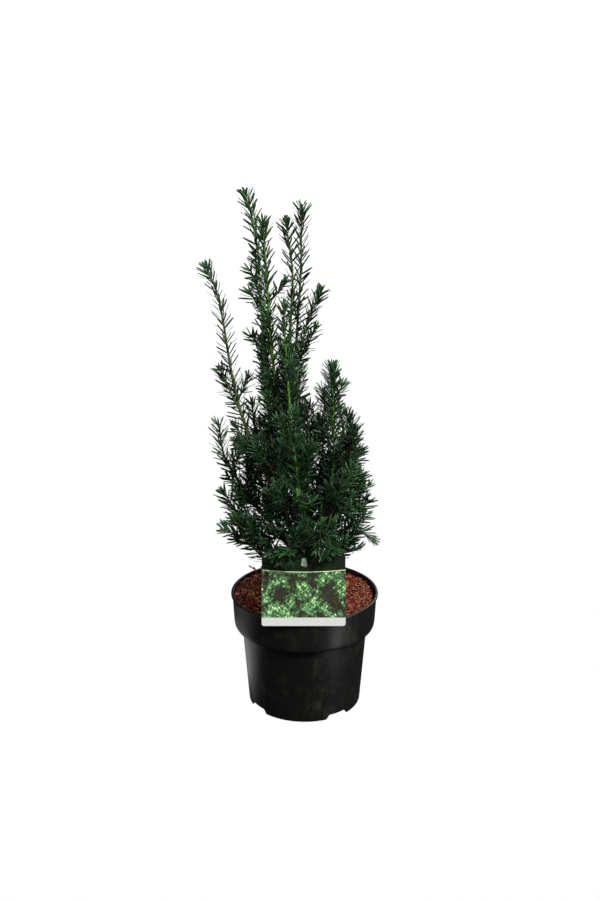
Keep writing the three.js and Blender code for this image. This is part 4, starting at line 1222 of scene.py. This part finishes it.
# Label: a printed plastic card that leans back on the pot's lip, hung by a soft plastic strap. The strap
# goes through a slot near the card's top and round a front twig, and ends in a wider tab on the card's face.
CARD_THICKNESS = 0.8
CARD_CORNER = 3
CARD_SLOT = (9, 2.6)
CARD_EDGE = 0.12
STRAP_X = -1
STRAP_WIDTH = 5
STRAP_THICKNESS = 0.8
STRAP_STAND_OFF = 0.3
STRAP_LOOP_RADIUS = 3.6
STRAP_LOOP_ENDS = (-110, 90)
STRAP_EDGE = 0.2
TAB = [(-3.9, 1), (3.9, 1), (2.2, 10), (-2.2, 10)]
TAB_EXTRA = 0.05
PRINT_BAND_UP = 0.775
PRINT_BAND_DIP = 0.03
PRINT_RIM = 0.008
PRINT_STRIP_UP = 0.115
PRINT_DARK = (0.004, 0.008, 0.003, 1)
PRINT_GROUND = (0.015, 0.014, 0.009, 1)
PRINT_LEAF = (0.055, 0.13, 0.05, 1)
PRINT_YOUNG_LEAF = (0.17, 0.33, 0.13, 1)
PRINT_PALE = (0.42, 0.52, 0.3, 1)
CARD_WHITE = (0.31, 0.31, 0.3, 1)
STRAP_GREEN = (0.22, 0.34, 0.22, 1)

card_place = Matrix.Translation(Vector(CARD_FOOT) * MM) @ Matrix(CARD_AXES.T.tolist()).to_4x4()


def arc(middle, radius, first, last, steps=7):
    turns = np.radians(np.linspace(first, last, steps))
    return [(middle[0] + radius * math.cos(turn), middle[1] + radius * math.sin(turn)) for turn in turns]


def rounded_box(middle, width, height, corner):
    """A rectangle's outline with round corners."""
    x = width / 2 - corner
    y = height / 2 - corner
    outline = []
    for turn, (side, up) in zip((0, 90, 180, 270), ((1, 1), (-1, 1), (-1, -1), (1, -1))):
        outline += arc((middle[0] + side * x, middle[1] + up * y), corner, turn, turn + 90)
    return outline


def add_plate(name, outlines, low, high, finishes):
    """A flat plate in the card's own space, with its edges eased. Outlines after the first are holes."""
    curve = bpy.data.curves.new(name, "CURVE")
    curve.dimensions = "2D"
    curve.fill_mode = "BOTH"
    curve.extrude = ((high - low) / 2 - CARD_EDGE) * MM
    curve.bevel_depth = CARD_EDGE * MM
    curve.bevel_resolution = 1
    curve.offset = -CARD_EDGE * MM
    for outline in outlines:
        spline = curve.splines.new("POLY")
        spline.points.add(len(outline) - 1)
        for point, (x, y) in zip(spline.points, outline):
            point.co = (x * MM, y * MM, 0, 1)
        spline.use_cyclic_u = True
    drawn = bpy.data.objects.new(name, curve)
    bpy.context.scene.collection.objects.link(drawn)
    mesh = bpy.data.meshes.new_from_object(drawn.evaluated_get(bpy.context.evaluated_depsgraph_get()))
    bpy.data.objects.remove(drawn)
    mesh.name = name
    mesh.transform(Matrix.Translation((0, 0, (low + high) / 2 * MM)))
    mesh.materials.clear()
    for finish in finishes:
        mesh.materials.append(finish)
    for face in mesh.polygons:
        face.material_index = 0 if face.normal.z > 0.5 or len(finishes) == 1 else 1
    plate = bpy.data.objects.new(name, mesh)
    plate.matrix_world = card_place
    bpy.context.scene.collection.objects.link(plate)
    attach(plate, "root")
    return plate


print_finish, print_shader, on_card = new_finish("leafy_print", Specular_IOR_Level=0.15)
across = on_card.node("ShaderNodeSeparateXYZ", {}, {0: on_card}, output=0) * (1 / (CARD_WIDTH * MM))
up = on_card.node("ShaderNodeSeparateXYZ", {}, {0: on_card}, output=1) * (1 / (CARD_HEIGHT * MM))


def leaves(turn, scale):
    """Small pointed leaves that lie one way: how near the middle of one, and a random number for each."""
    inputs = {"Vector": on_card, "Angle": math.radians(turn)}
    turned_place = on_card.node("ShaderNodeVectorRotate", {"rotation_type": "Z_AXIS"}, inputs)
    cells = {"Vector": turned_place.stretched(1, 0.45, 0), "Scale": scale, "Randomness": 1.0}
    nearness = 1 - turned_place.node("ShaderNodeTexVoronoi", {}, cells)
    random = turned_place.node("ShaderNodeTexVoronoi", {}, cells, output=1)
    return nearness, random


left_near, left_random = leaves(38, 560)
right_near, right_random = leaves(-42, 620)
clumps = on_card.noise(38, 3, 0.6).between(0.42, 0.56)
left_light = left_near.between(0.25, 0.8) * left_random.between(0.3, 0.75)
right_light = right_near.between(0.25, 0.8) * right_random.between(0.35, 0.8)
light = (left_light * 0.5 + right_light * 0.45 + 0.1) * (0.12 + clumps * 0.88) + on_card.noise(130, 2) * 0.2
picture = light.between(0.12, 0.34).blend(PRINT_GROUND, PRINT_LEAF)
picture = light.between(0.34, 0.62).blend(picture, PRINT_YOUNG_LEAF)
picture = light.between(0.6, 0.85).blend(picture, PRINT_PALE)
centred = across * 2
band_edge = PRINT_BAND_UP - PRINT_BAND_DIP * (1 - centred * centred)
picture = (up > band_edge - PRINT_RIM).blend(picture, PRINT_PALE)
picture = (up > band_edge).blend(picture, PRINT_DARK)
is_strip = 1 - (up > PRINT_STRIP_UP)
picture = is_strip.blend(picture, CARD_WHITE)
drive(print_shader, Base_Color=picture, Roughness=0.28 + on_card.noise(500, 2) * 0.08)
card_back, _, _ = new_finish("bare_card_plastic", Base_Color=CARD_WHITE, Roughness=0.4)
card_outlines = [
    rounded_box((0, CARD_HEIGHT / 2), CARD_WIDTH, CARD_HEIGHT, CARD_CORNER),
    rounded_box((STRAP_X - CARD_FOOT[0], CARD_SLOT_UP), *CARD_SLOT, 1),
]
card = add_plate("printed_card", card_outlines, 0, CARD_THICKNESS, [print_finish, card_back])
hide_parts("label_card")

strap_finish, _, _ = new_finish("soft_strap_plastic", Base_Color=STRAP_GREEN, Roughness=0.4)
tab_low = CARD_THICKNESS + STRAP_STAND_OFF
tab_outline = [(x + STRAP_X - CARD_FOOT[0], y + CARD_SLOT_UP) for x, y in TAB]
tab_high = tab_low + STRAP_THICKNESS + TAB_EXTRA
tab = add_plate("strap_tab", [tab_outline], tab_low - TAB_EXTRA, tab_high, [strap_finish])


def beside_card(up_card, out):
    """Y and Z of a point over the slot, given up the card and out of its printed face."""
    at = CARD_FOOT + CARD_AXES[1] * up_card + CARD_AXES[2] * out
    return at[1], at[2]


middle_out = tab_low + STRAP_THICKNESS / 2
strap_loop = arc(STRAP_LOOP_AT[1:], STRAP_LOOP_RADIUS, *STRAP_LOOP_ENDS, steps=16)
strap_corners = [
    (*beside_card(CARD_SLOT_UP + 3, middle_out), 0),
    (*beside_card(CARD_SLOT_UP + 1.2, middle_out), 0.6),
    (*beside_card(CARD_SLOT_UP, CARD_THICKNESS / 2), 0.6),
    (*beside_card(CARD_SLOT_UP - 0.6, -4), 3),
    *((y, z, 0) for y, z in strap_loop),
    (*beside_card(CARD_SLOT_UP + 8, -3), 3),
    (*beside_card(CARD_SLOT_UP + 6.5, -STRAP_STAND_OFF - STRAP_THICKNESS / 2), 0),
]
strap_path = rounded(strap_corners, steps=6)
strap_ways = unit(np.gradient(strap_path, axis=0))
strap_out = np.stack([-strap_ways[:, 1], strap_ways[:, 0]], 1)
half_width = STRAP_WIDTH / 2
half_thickness = STRAP_THICKNESS / 2
flat = half_width - STRAP_EDGE
section = [(-half_width, -0.5), (-half_width, 0.5), (-flat, 1), (flat, 1)]
section += [(-x, -over) for x, over in section]
strap_points = []
for at, out in zip(strap_path, strap_out):
    strap_points += [(STRAP_X + x, *(at + out * over * half_thickness)) for x, over in section]
corners = len(section)
strap_faces = ring_walls(len(strap_path), corners).tolist()
last = len(strap_points) - corners
for quad in ((0, 1, 2, 7), (2, 3, 6, 7), (3, 4, 5, 6)):
    strap_faces.append(quad[::-1])
    strap_faces.append(tuple(last + corner for corner in quad))
strap = add_piece("hanging_strap", strap_points, strap_faces, [strap_finish], "strap", smooth_below=50)
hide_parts("label_strap")
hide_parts("label_strap")


# Studio: a pale floor that sweeps up all round, a soft sun over the right shoulder, wide fills from the
# left and the back, and low panels for the sheen on the pot. The lens and place are those of the picture.
CAMERA_AT = (-0.0059, -1.36829, 0.76465)
CAMERA_PITCH = math.radians(90 - 17.25)
LENS = 46.04
SENSOR = 36
FLOOR_GLOW = 1.0
FLOOR_FLAT_RADIUS = 1.9
FLOOR_BEND = 1.2
FLOOR_WALL_TOP = 5
FLOOR_SIDES = 96
FLOOR_BEND_RINGS = 14
FLOOR_DROP = 0.0002
WORLD_LIGHT = 0.035
PANEL_SHEEN = {"pot_band", "left_panel"}

bend_turns = np.linspace(0, math.pi / 2, FLOOR_BEND_RINGS)
ring_radii = np.append(FLOOR_FLAT_RADIUS + FLOOR_BEND * np.sin(bend_turns), FLOOR_FLAT_RADIUS + FLOOR_BEND)
ring_heights = np.append(FLOOR_BEND * (1 - np.cos(bend_turns)), FLOOR_WALL_TOP) - FLOOR_DROP
floor_points = []
for radius, height in zip(ring_radii, ring_heights):
    for side in range(FLOOR_SIDES):
        turn = side * 2 * math.pi / FLOOR_SIDES
        floor_points.append((radius * math.cos(turn), radius * math.sin(turn), height))
floor_faces = [range(FLOOR_SIDES), *ring_walls(len(ring_radii), FLOOR_SIDES).tolist()]
floor_mesh = bpy.data.meshes.new("floor")
floor_mesh.from_pydata(floor_points, [], floor_faces)
floor_mesh.polygons.foreach_set("use_smooth", np.ones(len(floor_faces), bool))
floor = bpy.data.objects.new("floor", floor_mesh)
bpy.context.scene.collection.objects.link(floor)
floor_finish, floor_shader, _ = new_finish("pale_floor", Base_Color=(0.04, 0.04, 0.04, 1), Roughness=0.9)
floor_shader.inputs["Emission Color"].default_value = (1, 1, 1, 1)
floor_shader.inputs["Emission Strength"].default_value = FLOOR_GLOW
floor_mesh.materials.append(floor_finish)
floor.visible_diffuse = False
floor.visible_glossy = False
floor.visible_shadow = False


def add_light(name, kind, place, aim, power, **shape):
    data = bpy.data.lights.new(name, kind)
    data.energy = power
    for setting, value in shape.items():
        setattr(data, setting, value)
    light = bpy.data.objects.new(name, data)
    light.location = place
    light.rotation_euler = (Vector(aim) - Vector(place)).to_track_quat("-Z", "Y").to_euler()
    light.visible_camera = False
    light.visible_diffuse = name not in PANEL_SHEEN
    bpy.context.scene.collection.objects.link(light)


def add_panel(name, place, aim, power, width, height):
    add_light(name, "AREA", place, aim, power, shape="RECTANGLE", size=width, size_y=height)


add_light("key", "SUN", (0.8, -1.1, 1.6), (0, 0, 0.2), 7, angle=math.radians(14))
add_panel("fill", (-1.3, -1.0, 1.1), (0, 0, 0.3), 20, 0.8, 1.2)
add_panel("back_fill", (0.8, 1.4, 1.1), (0, 0, 0.3), 24, 1.0, 1.2)
add_panel("right_strip", (0.51, -0.32, 0.18), (0, 0, 0.08), 1.5, 0.08, 0.35)
add_panel("pot_band", (0.134, -0.149, 0.055), (0.03, -0.07, 0.06), 0.08, 0.02, 0.11)
add_panel("left_panel", (-0.21, 0.1, -0.04), (-0.07, 0, 0.03), 0.085, 0.2, 0.09)
world = bpy.data.worlds.new("studio")
bpy.context.scene.world = world
world.use_nodes = True
world.node_tree.nodes["Background"].inputs["Color"].default_value = (1, 1, 1, 1)
world.node_tree.nodes["Background"].inputs["Strength"].default_value = WORLD_LIGHT

camera_data = bpy.data.cameras.new("camera")
camera_data.lens = LENS
camera_data.sensor_width = SENSOR
camera = bpy.data.objects.new("camera", camera_data)
camera.location = CAMERA_AT
camera.rotation_euler = (CAMERA_PITCH, 0, 0)
bpy.context.scene.collection.objects.link(camera)
bpy.context.scene.camera = camera
bpy.context.scene.view_settings.view_transform = "Standard"
